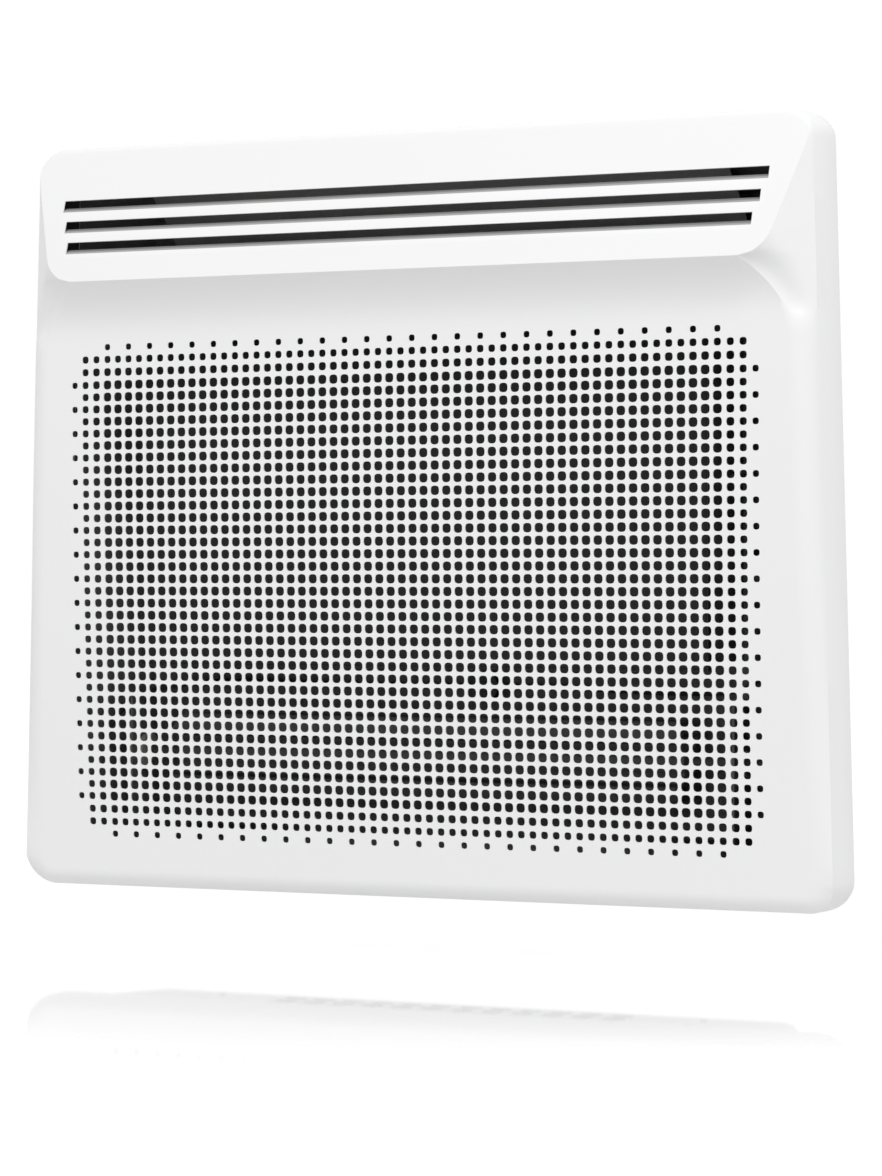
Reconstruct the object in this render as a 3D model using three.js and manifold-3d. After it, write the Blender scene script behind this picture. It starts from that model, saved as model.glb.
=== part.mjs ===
// Wall panel convector heater: a pressed steel front with a sloping lip, three outlet
// slots and a perforated field, on a tapered rear casing that hangs on a wall bracket.
// Millimetres. X points right, Y points to the wall, Z points up, so the front faces -Y.
// The origin is the middle of the bracket's wall face, and Y = 0 is the wall.

import * as THREE from 'three';
import { mergeVertices } from 'three/addons/utils/BufferGeometryUtils.js';
import Module from 'manifold-3d';

const wasm = await Module();
wasm.setup();

// ---------------------------------------------------------------- driving dimensions

// Fits
const seatGap = 0.3;                // clear space between two pieces that touch
const runGap = 0.3;                 // clear space round a piece that moves
const throughCut = 4;               // how far a cutting tool runs past the sheet

// Front panel
const panelTop = 207;               // top edge above the origin
const panelBottom = -204.5;         // bottom edge below the origin
const panelTopWidth = 466.8;        // across the rim at the top edge
const panelBottomWidth = 489.6;     // across the rim at the bottom edge
const panelSheet = 1.5;
const rimStandOff = 67;             // wall to the panel's rear rim
const topCornerRadius = 16;         // rear rim's top corners
const lipTopCornerRadius = 13;      // lip's top corners
const bottomCornerRadius = 16;
const bottomBendRadius = 9;         // rounding from the front to the underside
const flangeDepth = 24.4;           // rim to the edge where the side bend starts
const flangeDraft = 4.2;            // how far the side flange leans in over that depth
const bendWidth = 12.6;             // side bend, measured across the front
const rimReturn = 16;               // inward return of the rear rim
const topReturn = 15;

// Perforated field: gently bowed and leaning forward at the top
const fieldStandOff = 98;           // wall to the field at its middle
const fieldMiddle = -40;            // height of the field's middle
const fieldLean = 1.83;             // degrees
const fieldBow = 3666;              // radius of the bow
const openingColumns = 18;
const openingRows = 12;
const openingPitchX = 22.7;
const openingPitchZ = 22.9;
const openingSize = 15.7;

// Lip with the outlet slots
const lipTopStandOff = 88.6;        // wall to the lip's top edge
const lipEdgeStandOff = 113.6;      // wall to the lip's lower edge, the foremost line
const lipEdgeHeight = 130.5;
const lipEdgeWidth = 420;           // across the lip at its lower edge, before rounding
const lipSideSpread = 0.304;        // how fast each side edge spreads with height
const lipCornerRadius = 16;
const coveHeight = 28.5;            // hollow under the lip
const sweepHeight = 34;             // height over which the side bend swings out under the lip
const sweepEase = 1.7;              // how much faster it swings out at first
const slotCount = 3;
const slotTop = 176.9;              // top edge of the highest slot
const slotHeight = 6.6;
const slotPitch = 12;
const slotLength = 418;             // highest slot
const slotShortening = 6.4;         // each lower slot is this much shorter
const slotTurnRise = 2.4;           // inward turn along each slot's lower edge
const slotTurnDepth = 3.5;
const slotTurnSheet = 1;

// Rear casing
const casingWallInset = 13.4;       // casing's side wall, in from the panel's narrowest rim
const casingTaper = 23;             // how far each side wall closes in towards the rear
const casingRearStandOff = 20;      // wall to the casing's rear face
const casingTopFront = 190;
const casingTopRear = 172;
const casingSheet = 1;
const casingCornerRadius = 9;
const casingFlangeInset = 5;        // casing flange, in from the panel's rim
const tuckDepth = 10;               // bottom edge tucked into the panel
const tuckWidth = 400;
const inletColumns = 12;
const inletRows = 3;
const inletPitchX = 18;
const inletPitchY = 12;
const inletLength = 13;
const inletWidth = 6;
const ventColumns = 10;
const ventRows = 2;
const ventPitchX = 22;
const ventPitchZ = 10;
const ventLength = 17;
const ventWidth = 5;
const ventHeight = -158;            // lower row of the rear vents
const footPadOffset = 146;          // screw pad for a foot, from the middle
const footHoleSpacing = 24;
const footHoleSize = 4.4;
const hookSlotPlay = 1;             // free space at each end of a hook in its slot

// Screws
const screwRadius = 1.8;
const screwHeadRadius = 3.6;
const screwHeadHeight = 2.2;
const screwCrown = 0.9;             // rounding of the head
const panelScrewLength = 7;
const panelScrewInset = 10.5;       // in from the panel's rim
const sideScrewHeights = [-150, 0, 150];
const topScrewOffset = 130;

// Wall bracket
const bracketWidth = 280;
const bracketHeight = 160;
const bracketSheet = 1.5;
const bracketWindowWidth = 84;
const bracketWindowHeight = 104;
const bracketWindowOffset = 76;
const bracketHoleRadius = 3;
const bracketHoleOffsetX = 124;
const bracketHoleOffsetZ = 64;
const hookOffset = 100;
const hookWidth = 24;
const hookRise = 11;
const hookSlotDrop = 14;            // height of the casing's slot below the hook

// Turn latches
const latchOffset = 100;
const latchDrop = 14;               // latch axis below the bracket's lower edge
const latchTabWidth = 26;
const latchTabLength = 28;
const latchTabStandOff = 12;        // wall to the tab's front face
const latchShankRadius = 3;
const latchBarLength = 17;
const latchBarWidth = 5;
const latchBarThickness = 2.4;
const latchArmLength = 24;
const latchArmWidth = 8;
const latchArmThickness = 2;
const latchHubRadius = 5.5;
const latchNeckRadius = 2.1;
const latchNeckEnd = 0.6;           // neck beyond its clip
const clipRadius = 5.5;
const clipThickness = 1.2;

// Lower spacers
const spacerInset = 32;             // in from the rear wall's side edge
const spacerHeight = -185;
const spacerRadius = 9;
const spacerWallRadius = 7.2;
const spacerPegRadius = 3;
const spacerPegLength = 6;

// Heat shield and air guide
const shieldInset = 24;             // in from the rear wall's side edge
const shieldStandOff = 31;
const shieldSheet = 0.8;
const shieldTop = 118;
const shieldBottom = -172;
const guideSheet = 0.8;
const guideFrontStandOff = 84;
const guideFrontHeight = 196;
const guideRise = 40;               // how far below its front edge the guide starts to bend

// Convection element
const elementHeight = -130;
const elementStandOff = 60;
const finBlockInset = 30;           // fins' ends, in from the element's brackets
const finArmLength = 25;
const finArmThickness = 3;
const finRibLength = 13;
const finRibThickness = 1.6;
const finRibPitch = 6.5;
const finCoreRadius = 9;
const tubeRadius = 4;
const tubeReach = 12;               // tube's ends beyond the element's brackets
const tubePinRadius = 1.5;
const tubePinLength = 6;
const elementBracketInset = 17;     // in from the rear wall's side edge
const elementBracketSheet = 1.2;
const elementBracketWidth = 30;
const elementBracketRise = 34;      // above the tube's middle
const elementFootLength = 14;
const elementFootNotch = 4;         // foot's front edge, back from the bracket's
const bushRadius = 7;
const bushReach = 2;                // sleeve beyond the bracket
const bushFlangeRadius = 10;
const bushFlangeThickness = 3;

// Infrared plate
const infraredInset = 5;            // plate, in from the shield's side edges
const infraredHeight = 176;
const infraredMiddle = 8;
const infraredStandOff = 83;        // wall to the plate's front face
const infraredThickness = 3;
const frameRail = 9;
const frameSheet = 1;
const frameScrewInset = 1;          // screw, outwards from the rail's middle line
const frameScrewHeight = 70;        // above and below the plate's middle
const stileHeight = 172;
const stileFlange = 12;
const stileFoot = 4;

// Small parts on the shield and the casing
const cutoutRadius = 8;
const cutoutHeight = 6;
const cutoutPlate = [26, 14, 1.2];
const cutoutButton = [2.7, 1.5];    // radius and height of its reset button
const cutoutPlace = [20, -92];
const tiltSwitchSize = [22, 16, 13];
const tiltSwitchEars = [34, 8, 2];
const tiltSwitchPlace = [-120, -66];
const sensorInset = 14;             // in from the casing's side wall
const sensorStandOff = 50;
const sensorClip = [6, 10, 12];
const sensorBeadRadius = 2.2;
const sensorBeadReach = 5;
const terminalSize = [14, 13, 36];
const terminalInset = 12;           // in from the rear wall's side edge
const terminalHeight = -62;
const terminalWays = 3;
const terminalWell = [2.6, 6];      // radius and depth
const glandInset = 15;              // in from the rear wall's side edge
const glandHeight = -20;
const glandBoreRadius = 4;
const glandNeckRadius = 6.6;
const glandFlangeRadius = 10;
const glandFlangeThickness = 3;
const glandRound = 1.5;

// Control unit, set in the casing's right side wall
const controlMiddle = 100;
const housingWidth = 35.4;
const housingHeight = 124;
const housingDepth = 24;
const housingWall = 1.5;
const fasciaWidth = 41;
const fasciaHeight = 132;
const fasciaThickness = 2.2;
const boardThickness = 1.6;
const boardWidth = 30;
const boardDepth = 12;              // fascia seat to the board's face
const boardTop = 58;
const boardBottom = -32;
const boardSink = 0.5;              // parts on the board reach this far into it
const postRadius = 2;
const postInset = 4;                // in from the board's top and bottom edges
const postSpacing = 24;
const relaySize = [8, 6, 16];
const relayInset = [1, 2];          // in from the board's side and bottom edges
const displayHeight = 42;
const displaySize = [26, 16];
const displayInset = 1;             // module, in from the window's opening
const displayRecess = 0.2;
const buttonRadius = 4.2;
const buttonTravel = 0.8;
const buttonProud = 1.1;
const buttonFlangeRadius = 5.4;
const buttonFlangeThickness = 1;
const buttonStemRadius = 1.5;
const buttonHeights = [20, 5, -10, -25];
const tactSize = 6;
const tactHeight = 3.4;
const rockerMiddle = -49;
const rockerWidth = 9.6;
const rockerHeight = 15;
const rockerTilt = 8;               // degrees either side of level
const rockerFootHeight = 8.2;
const rockerFootDepth = 3.2;        // behind the pivot
const rockerProud = 1.2;            // its raised end above the bezel
const rockerEndDepth = 2;
const rockerEndChamfer = 0.3;
const rockerPivotDepth = 1.2;       // pivot behind the fascia's face
const switchBezel = [15, 21];
const switchBezelThickness = 1.5;
const switchWall = 1.2;
const switchDepth = 16;
const switchWellDepth = 8;
const trunnionRadius = 0.9;
const trunnionReach = 0.5;          // each pin's length in the switch's wall

// Internal leads
const leadRadius = 1.3;
const leadSides = 6;
const leadStep = 13;                // length of each straight stretch of a lead

// Facets round a turned piece, a bar and a small hole
const turnedSides = 20;
const barSides = 16;
const holeSides = 12;

// ---------------------------------------------------------------- colours and finishes

const paint = { white: 0xf1f1f2, casing: 0xe9e9ea, bracket: 0xd9dadb };
const materials = {
  panel: finish(paint.white, 0.42, 0),
  casing: finish(paint.casing, 0.5, 0),
  bracket: finish(paint.bracket, 0.5, 0.2),
  screw: finish(0xb9bbbd, 0.35, 0.9),
  innerSheet: finish(0x2c2c2d, 0.6, 0.1),
  aluminium: finish(0xb4b7ba, 0.4, 0.9),
  tube: finish(0x6f6a66, 0.45, 0.8),
  ceramic: finish(0xe8e2d4, 0.6, 0),
  mica: finish(0x4a443c, 0.7, 0),
  blackPlastic: finish(0x1d1e20, 0.45, 0),
  greyPlastic: finish(0x8e9194, 0.5, 0),
  whitePlastic: finish(0xe6e7e8, 0.4, 0),
  board: finish(0x2f6b45, 0.55, 0),
  window: finish(0x101214, 0.15, 0),
  lead: finish(0xc9c4b8, 0.6, 0),
};

function finish(color, roughness, metalness) {
  return new THREE.MeshStandardMaterial({ color, roughness, metalness });
}

// ---------------------------------------------------------------- making solids

const axisX = new THREE.Matrix4().makeBasis(
  new THREE.Vector3(0, 1, 0), new THREE.Vector3(0, 0, 1), new THREE.Vector3(1, 0, 0));
const axisY = new THREE.Matrix4().makeBasis(
  new THREE.Vector3(1, 0, 0), new THREE.Vector3(0, 0, 1), new THREE.Vector3(0, -1, 0));

// A closed three.js geometry as a solid that can be joined and cut.
function solidOf(geometry) {
  const bare = geometry.clone();
  bare.deleteAttribute('normal');
  bare.deleteAttribute('uv');
  const merged = mergeVertices(bare, 1e-4);
  return new wasm.Manifold(new wasm.Mesh({
    numProp: 3,
    vertProperties: new Float32Array(merged.attributes.position.array),
    triVerts: new Uint32Array(merged.index.array),
  }));
}

function geometryOf(solid) {
  const mesh = solid.getMesh();
  const geometry = new THREE.BufferGeometry();
  const positions = new Float32Array(mesh.vertProperties);
  geometry.setAttribute('position', new THREE.BufferAttribute(positions, 3));
  geometry.setIndex(new THREE.BufferAttribute(new Uint32Array(mesh.triVerts), 1));
  geometry.computeVertexNormals();
  return geometry;
}

function join(first, ...rest) {
  return rest.reduce((sum, solid) => sum.add(solid), first);
}

function cut(first, ...tools) {
  return tools.reduce((left, tool) => left.subtract(tool), first);
}

// A box from its lowest to its highest corner.
function block([x0, y0, z0], [x1, y1, z1]) {
  const geometry = new THREE.BoxGeometry(x1 - x0, y1 - y0, z1 - z0);
  geometry.translate((x0 + x1) / 2, (y0 + y1) / 2, (z0 + z1) / 2);
  return solidOf(geometry);
}

function outline(points) {
  return new THREE.Shape(points.map(([a, b]) => new THREE.Vector2(a, b)));
}

// Extrusions: a (y, z) outline along X, an (x, z) outline along Y, an (x, y) outline along Z.
function extrusion(shapes, depth) {
  return new THREE.ExtrudeGeometry(shapes, { depth, bevelEnabled: false });
}

function alongX(shapes, x0, x1) {
  const geometry = extrusion(shapes, x1 - x0);
  geometry.applyMatrix4(axisX).translate(x0, 0, 0);
  return solidOf(geometry);
}

function alongY(shapes, y0, y1) {
  const geometry = extrusion(shapes, y1 - y0);
  geometry.applyMatrix4(axisY).translate(0, y1, 0);
  return solidOf(geometry);
}

function alongZ(shapes, z0, z1) {
  const geometry = extrusion(shapes, z1 - z0);
  geometry.translate(0, 0, z0);
  return solidOf(geometry);
}

// A round bar along X or Y, from one station to the other.
function barX(radius, x0, x1, y, z, sides = barSides) {
  const geometry = new THREE.CylinderGeometry(radius, radius, x1 - x0, sides);
  geometry.rotateZ(-Math.PI / 2).translate((x0 + x1) / 2, y, z);
  return solidOf(geometry);
}

function barY(radius, y0, y1, x, z, sides = barSides) {
  const geometry = new THREE.CylinderGeometry(radius, radius, y1 - y0, sides);
  geometry.translate(x, (y0 + y1) / 2, z);
  return solidOf(geometry);
}

// A turned piece: a closed (radius, height) profile about an axis along Y.
function turnedY(profile, x, z, sides = turnedSides) {
  const points = profile.map(([radius, height]) => new THREE.Vector2(radius, height));
  const geometry = new THREE.LatheGeometry(points, sides);
  geometry.translate(x, 0, z);
  return solidOf(geometry);
}

function rectangle(centreA, centreB, sizeA, sizeB) {
  return outline([
    [centreA - sizeA / 2, centreB - sizeB / 2], [centreA + sizeA / 2, centreB - sizeB / 2],
    [centreA + sizeA / 2, centreB + sizeB / 2], [centreA - sizeA / 2, centreB + sizeB / 2]]);
}

// The centres of an evenly spaced row of copies about a middle.
function row(count, pitch, middle = 0) {
  return Array.from({ length: count }, (unused, index) => middle + (index - (count - 1) / 2) * pitch);
}

// A skin drawn through rings of equal length, closed at both ends. Each ring runs
// anticlockwise as seen from the side that the rings move towards.
function loft(rings) {
  const count = rings[0].length;
  const positions = rings.flat().flatMap((point) => [point.x, point.y, point.z]);
  const faces = [];
  for (let level = 0; level + 1 < rings.length; level += 1) {
    for (let step = 0; step < count; step += 1) {
      const here = level * count + step;
      const next = level * count + (step + 1) % count;
      faces.push(here, next, next + count, here, next + count, here + count);
    }
  }
  const last = (rings.length - 1) * count;
  for (let step = 1; step + 1 < count; step += 1) {
    faces.push(0, step + 1, step, last, last + step, last + step + 1);
  }
  const geometry = new THREE.BufferGeometry();
  geometry.setAttribute('position', new THREE.Float32BufferAttribute(positions, 3));
  geometry.setIndex(faces);
  return solidOf(geometry);
}

const heater = new THREE.Group();

function place(name, solid, material, group = heater) {
  const mesh = new THREE.Mesh(geometryOf(solid), material);
  mesh.name = name;
  group.add(mesh);
}

// ---------------------------------------------------------------- front panel

const rimY = -rimStandOff;
const edgeY = rimY - flangeDepth;
const lipEdgeY = -lipEdgeStandOff;
const lipTopY = -lipTopStandOff;
const coveEnd = lipEdgeHeight - coveHeight;

// Half the width across the rim at a height, without the corners' rounding.
function rimHalfWidth(z) {
  const share = (z - panelBottom) / (panelTop - panelBottom);
  return (panelBottomWidth + share * (panelTopWidth - panelBottomWidth)) / 2;
}

// How far a round of this radius has drawn in, this far into the corner.
function roundInset(radius, depth) {
  const reach = Math.min(Math.max(depth, 0), radius);
  return radius - Math.sqrt(radius * radius - reach * reach);
}

function fieldY(z) {
  const rise = z - fieldMiddle;
  const lean = Math.tan(THREE.MathUtils.degToRad(fieldLean)) * rise;
  return rise * rise / (2 * fieldBow) - fieldStandOff - lean;
}

function lipY(z) {
  return lipEdgeY + (lipTopY - lipEdgeY) * (z - lipEdgeHeight) / (panelTop - lipEdgeHeight);
}

// The front surface at a height: lip, hollow under the lip, then the bowed field.
function frontY(z) {
  if (z >= lipEdgeHeight) return lipY(z);
  const hollow = fieldY(lipEdgeHeight) - lipEdgeY;
  const coveRadius = (hollow * hollow + coveHeight * coveHeight) / (2 * hollow);
  const forward = roundInset(coveRadius, z - coveEnd);
  return fieldY(z) - forward + roundInset(bottomBendRadius, panelBottom + bottomBendRadius - z);
}

// How much of the lip's straight chamfer is left below the lip's edge, from 1 to 0.
function lipShare(z) {
  const below = Math.max(lipEdgeHeight - z, 0) / sweepHeight;
  return (1 - Math.min(below, 1)) ** sweepEase;
}

// Half the width of the flat front at a height, where the side bend or the lip's edge begins.
function frontHalfWidth(z) {
  const flangeFront = rimHalfWidth(z) - flangeDraft;
  if (z >= lipEdgeHeight) {
    const corner = roundInset(lipCornerRadius, lipEdgeHeight + lipCornerRadius - z);
    const crease = lipEdgeWidth / 2 + lipSideSpread * (z - lipEdgeHeight) - corner;
    return Math.min(crease, flangeFront);
  }
  const lipCorner = lipEdgeWidth / 2 - lipCornerRadius;
  return THREE.MathUtils.lerp(flangeFront - bendWidth, lipCorner, lipShare(z));
}

// One level ring round the panel: rim, side flange, bend and front, mirrored to the left.
// The rear rim is rounded more at the top corners than the lip is.
const bendSteps = 3;
function panelRing(z, sheet, rearY) {
  const lowInset = sheet + roundInset(bottomCornerRadius, panelBottom + bottomCornerRadius - z);
  const rimInset = lowInset + roundInset(topCornerRadius, z - panelTop + topCornerRadius);
  const lipInset = lowInset + roundInset(lipTopCornerRadius, z - panelTop + lipTopCornerRadius);
  const front = frontY(z) + sheet;
  const edge = Math.max(edgeY, front);
  const edgeX = rimHalfWidth(z) - flangeDraft * (rimY - edge) / flangeDepth - lipInset;
  const frontX = Math.min(frontHalfWidth(z) - lipInset, edgeX);
  const right = [[rimHalfWidth(z) - rimInset, rearY], [edgeX, edge]];
  for (let step = 1; step <= bendSteps; step += 1) {
    const share = step / (bendSteps + 1);
    const turn = share * Math.PI / 2;
    const roundX = frontX + (edgeX - frontX) * Math.cos(turn);
    const roundY = edge + (front - edge) * Math.sin(turn);
    const straightX = THREE.MathUtils.lerp(edgeX, frontX, share);
    const straightY = THREE.MathUtils.lerp(edge, front, share);
    right.push([
      THREE.MathUtils.lerp(roundX, straightX, lipShare(z)),
      THREE.MathUtils.lerp(roundY, straightY, lipShare(z))]);
  }
  right.push([frontX, front]);
  const left = right.map(([x, y]) => [-x, y]);
  return [...left, ...right.reverse()].map(([x, y]) => new THREE.Vector3(x, y, z));
}

// The heights at which the panel's surface is drawn, from the bottom up.
function panelHeights() {
  const heights = new Set([panelBottom, panelTop, lipEdgeHeight, coveEnd]);
  for (const share of [0.12, 0.3, 0.6, 1]) {
    heights.add(panelBottom + bottomCornerRadius * share);
    heights.add(panelTop - topCornerRadius * share);
    heights.add(panelTop - lipTopCornerRadius * share);
  }
  for (const share of [0.25, 0.5, 0.75, 1]) {
    heights.add(lipEdgeHeight - coveHeight * share);
    heights.add(lipEdgeHeight + lipCornerRadius * share);
  }
  heights.add(lipEdgeHeight - sweepHeight);
  for (const height of row(openingRows / 2 + 1, 2 * openingPitchZ, fieldMiddle)) heights.add(height);
  return [...heights].sort((low, high) => low - high);
}

function panelBody(sheet, rearY) {
  const span = panelTop - panelBottom;
  const shrink = (span - 2 * sheet) / span;
  return loft(panelHeights().map((z) => {
    const ring = panelRing(z, sheet, rearY);
    const level = panelBottom + sheet + (z - panelBottom) * shrink;
    ring.forEach((point) => { point.z = level; });
    return ring;
  }));
}

function slotTopAt(index) {
  return slotTop - index * slotPitch;
}

function slotHalfLength(index) {
  return (slotLength - index * slotShortening) / 2;
}

function screwPlaces() {
  const side = sideScrewHeights.flatMap((z) => (
    [-1, 1].map((hand) => [hand * (rimHalfWidth(z) - panelScrewInset), z])));
  const topZ = panelTop - topReturn / 2 - panelSheet;
  return [...side, [-topScrewOffset, topZ], [topScrewOffset, topZ]];
}

function rearOpening() {
  const low = panelBottom + panelSheet;
  const high = panelTop - topReturn;
  return outline([
    [rimReturn - rimHalfWidth(low), low], [rimHalfWidth(low) - rimReturn, low],
    [rimHalfWidth(high) - rimReturn, high], [rimReturn - rimHalfWidth(high), high]]);
}

function frontPanel() {
  const openings = row(openingRows, openingPitchZ, fieldMiddle).flatMap((z) => (
    row(openingColumns, openingPitchX).map((x) => rectangle(x, z, openingSize, openingSize))));
  const slots = [];
  const turns = [];
  for (let index = 0; index < slotCount; index += 1) {
    const top = slotTopAt(index);
    const low = top - slotHeight;
    const half = slotHalfLength(index);
    slots.push(block([-half, lipY(low) - throughCut, low], [half, lipY(top) + throughCut, top]));
    const start = lipY(low) + panelSheet / 2;
    turns.push(alongX(outline([
      [start, low], [start, low - slotTurnSheet], [start + slotTurnSheet, low - slotTurnSheet],
      [start + slotTurnDepth, low + slotTurnRise - slotTurnSheet],
      [start + slotTurnDepth, low + slotTurnRise]]), -half, half));
  }
  const holes = screwPlaces().map(([x, z]) => (
    barY(screwRadius + runGap, rimY - throughCut, rimY + throughCut, x, z, holeSides)));
  const shell = cut(panelBody(0, rimY), panelBody(panelSheet, rimY - panelSheet),
    alongY(rearOpening(), rimY - throughCut, rimY + throughCut),
    alongY(openings, -lipEdgeStandOff, edgeY + throughCut), ...slots, ...holes);
  return join(shell, ...turns);
}

place('front_panel', frontPanel(), materials.panel);

// ---------------------------------------------------------------- rear casing

const casingRearY = -casingRearStandOff;
const casingFrontY = rimY + seatGap;
const casingBottom = panelBottom + panelSheet + seatGap;
const casingDepth = casingRearY - casingFrontY;
const casingFrontHalf = Math.min(panelTopWidth, panelBottomWidth) / 2 - casingWallInset;
const casingRearHalf = casingFrontHalf - casingTaper;
const spacerOffset = casingRearHalf - spacerInset;

// How far the tapered casing has closed in at a distance from the wall, from 0 to 1.
function taperAt(y) {
  return (y - casingFrontY) / casingDepth;
}

function casingHalfWidth(y) {
  return THREE.MathUtils.lerp(casingFrontHalf, casingRearHalf, taperAt(y));
}

// A rounded upright rectangle at one distance from the wall.
function casingRing(y, sheet) {
  const half = casingHalfWidth(y) - sheet;
  const top = THREE.MathUtils.lerp(casingTopFront, casingTopRear, taperAt(y)) - sheet;
  const low = casingBottom + sheet;
  const radius = casingCornerRadius - sheet;
  const corners = [[half, top, 0], [-half, top, 1], [-half, low, 2], [half, low, 3]];
  return corners.flatMap(([x, z, quarter]) => [0, 0.33, 0.67, 1].map((share) => {
    const turn = (quarter + share) * Math.PI / 2;
    const centreX = x - Math.sign(x) * radius;
    const centreZ = z - (z > 0 ? radius : -radius);
    return new THREE.Vector3(centreX + radius * Math.cos(turn), y, centreZ + radius * Math.sin(turn));
  }));
}

// Rings run from the wall side forwards, so that they are anticlockwise seen from the front.
function casingBody(sheet, frontY, rearY) {
  return loft([casingRing(rearY, sheet), casingRing(frontY, sheet)]);
}

// The flange behind the panel's rim, its corners cut off inside the rim's rounding.
function casingFlange() {
  const low = casingBottom;
  const high = panelTop - casingFlangeInset;
  const lowCut = bottomCornerRadius - casingFlangeInset;
  const highCut = topCornerRadius - casingFlangeInset;
  const half = (z) => rimHalfWidth(z) - casingFlangeInset;
  const right = [[half(low) - lowCut, low], [half(low + lowCut), low + lowCut],
    [half(high), high - highCut], [half(high) - highCut, high]];
  const left = right.map(([x, z]) => [-x, z]).reverse();
  return alongY(outline([...right, ...left]), casingFrontY, casingFrontY + casingSheet);
}

const hookTop = bracketHeight / 2;
const latchZ = -bracketHeight / 2 - latchDrop;
const sides = [{ side: 'left', hand: -1 }, { side: 'right', hand: 1 }];
const gland = [casingRearHalf - glandInset, glandHeight];

// The control unit's own frame: x out of the side wall, y along it to the rear, z up.
const wallMiddleY = (casingFrontY + casingRearY) / 2;
const controlFrame = new THREE.Group();
controlFrame.position.set(casingHalfWidth(wallMiddleY), wallMiddleY, controlMiddle);
controlFrame.rotation.z = Math.atan2(casingTaper, casingDepth);
controlFrame.updateMatrixWorld();

function floorCuts() {
  const inlets = row(inletRows, inletPitchY, wallMiddleY).flatMap((y) => (
    row(inletColumns, inletPitchX).map((x) => rectangle(x, y, inletLength, inletWidth))));
  const footHoles = sides.flatMap(({ hand }) => row(2, footHoleSpacing, wallMiddleY).map((y) => (
    rectangle(hand * footPadOffset, y, footHoleSize, footHoleSize))));
  return alongZ([...inlets, ...footHoles], casingBottom - throughCut, casingBottom + throughCut);
}

function rearWallCuts() {
  const ventMiddle = ventHeight + (ventRows - 1) * ventPitchZ / 2;
  const vents = row(ventRows, ventPitchZ, ventMiddle).flatMap((z) => (
    row(ventColumns, ventPitchX).map((x) => rectangle(x, z, ventLength, ventWidth))));
  const hookSlots = sides.map(({ hand }) => rectangle(hand * hookOffset,
    hookTop + seatGap - hookSlotDrop / 2, hookWidth + 2 * hookSlotPlay, hookSlotDrop));
  const latchSlots = sides.map(({ hand }) => rectangle(
    hand * latchOffset, latchZ, 2 * (latchShankRadius + runGap), latchBarLength + 2 * runGap));
  const depth = [casingRearY - throughCut, casingRearY + throughCut];
  return [
    alongY([...vents, ...hookSlots, ...latchSlots], ...depth),
    ...sides.map(({ hand }) => (
      barY(spacerPegRadius + seatGap, ...depth, hand * spacerOffset, spacerHeight, holeSides))),
    barY(glandNeckRadius + seatGap, ...depth, ...gland, turnedSides)];
}

function rearCasing() {
  const screwHoles = screwPlaces().map(([x, z]) => (
    barY(screwRadius + runGap, casingFrontY - casingSheet, casingFrontY + 2 * casingSheet, x, z, holeSides)));
  const holeWidth = housingWidth / 2 + seatGap;
  const holeHeight = housingHeight / 2 + seatGap;
  const controlHole = block([-throughCut, -holeWidth, -holeHeight], [throughCut, holeWidth, holeHeight])
    .transform(controlFrame.matrixWorld.elements);
  const tuck = block([-tuckWidth / 2, casingFrontY - tuckDepth, casingBottom],
    [tuckWidth / 2, casingFrontY + casingSheet, casingBottom + casingSheet]);
  const body = join(casingBody(0, casingFrontY, casingRearY), casingFlange());
  const hollow = casingBody(casingSheet, casingFrontY - casingSheet, casingRearY - casingSheet);
  return cut(join(cut(body, hollow), tuck), floorCuts(), ...rearWallCuts(), ...screwHoles, controlHole);
}

place('rear_casing', rearCasing(), materials.casing);

// A pan head on a plain shank; the head is towards the wall and seats at headY.
function screwY(x, z, headY, length) {
  const crown = headY + screwHeadHeight;
  return turnedY([
    [0, headY - length], [screwRadius, headY - length], [screwRadius, headY],
    [screwHeadRadius, headY], [screwHeadRadius, crown - screwCrown],
    [screwHeadRadius - screwCrown, crown], [0, crown]], x, z, holeSides);
}

screwPlaces().forEach(([x, z], index) => {
  const headY = casingFrontY + casingSheet + seatGap;
  place(`panel_screw_${index + 1}`, screwY(x, z, headY, panelScrewLength), materials.screw);
});

// A grommet whose groove sits round the edge of the cable hole in the rear wall.
const glandSeat = casingRearY + seatGap;
const glandInnerSeat = casingRearY - casingSheet - seatGap;
place('cable_gland', turnedY([
  [glandBoreRadius, glandInnerSeat - glandFlangeThickness],
  [glandFlangeRadius, glandInnerSeat - glandFlangeThickness], [glandFlangeRadius, glandInnerSeat],
  [glandNeckRadius, glandInnerSeat], [glandNeckRadius, glandSeat], [glandFlangeRadius, glandSeat],
  [glandFlangeRadius - glandRound, glandSeat + glandFlangeThickness],
  [glandBoreRadius, glandSeat + glandFlangeThickness],
  [glandBoreRadius, glandInnerSeat - glandFlangeThickness]], ...gland), materials.blackPlastic);

for (const { side, hand } of sides) {
  const face = casingRearY + seatGap;
  place(`lower_spacer_${side}`, turnedY([
    [0, face - spacerPegLength], [spacerPegRadius, face - spacerPegLength], [spacerPegRadius, face],
    [spacerRadius, face], [spacerWallRadius, 0], [0, 0]],
  hand * spacerOffset, spacerHeight), materials.greyPlastic);
}

// ---------------------------------------------------------------- wall bracket and latches

const bracketFrontY = -bracketSheet;
const bracketReach = casingRearY + seatGap;
const tabFrontY = -latchTabStandOff;

function bracketHook(hand) {
  const tipY = casingRearY - casingSheet - seatGap;
  return alongX(outline([
    [0, hookTop - bracketSheet], [0, hookTop], [tipY, hookTop], [tipY, hookTop + hookRise],
    [tipY - bracketSheet, hookTop + hookRise], [tipY - bracketSheet, hookTop - bracketSheet]]),
  hand * hookOffset - hookWidth / 2, hand * hookOffset + hookWidth / 2);
}

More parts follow.
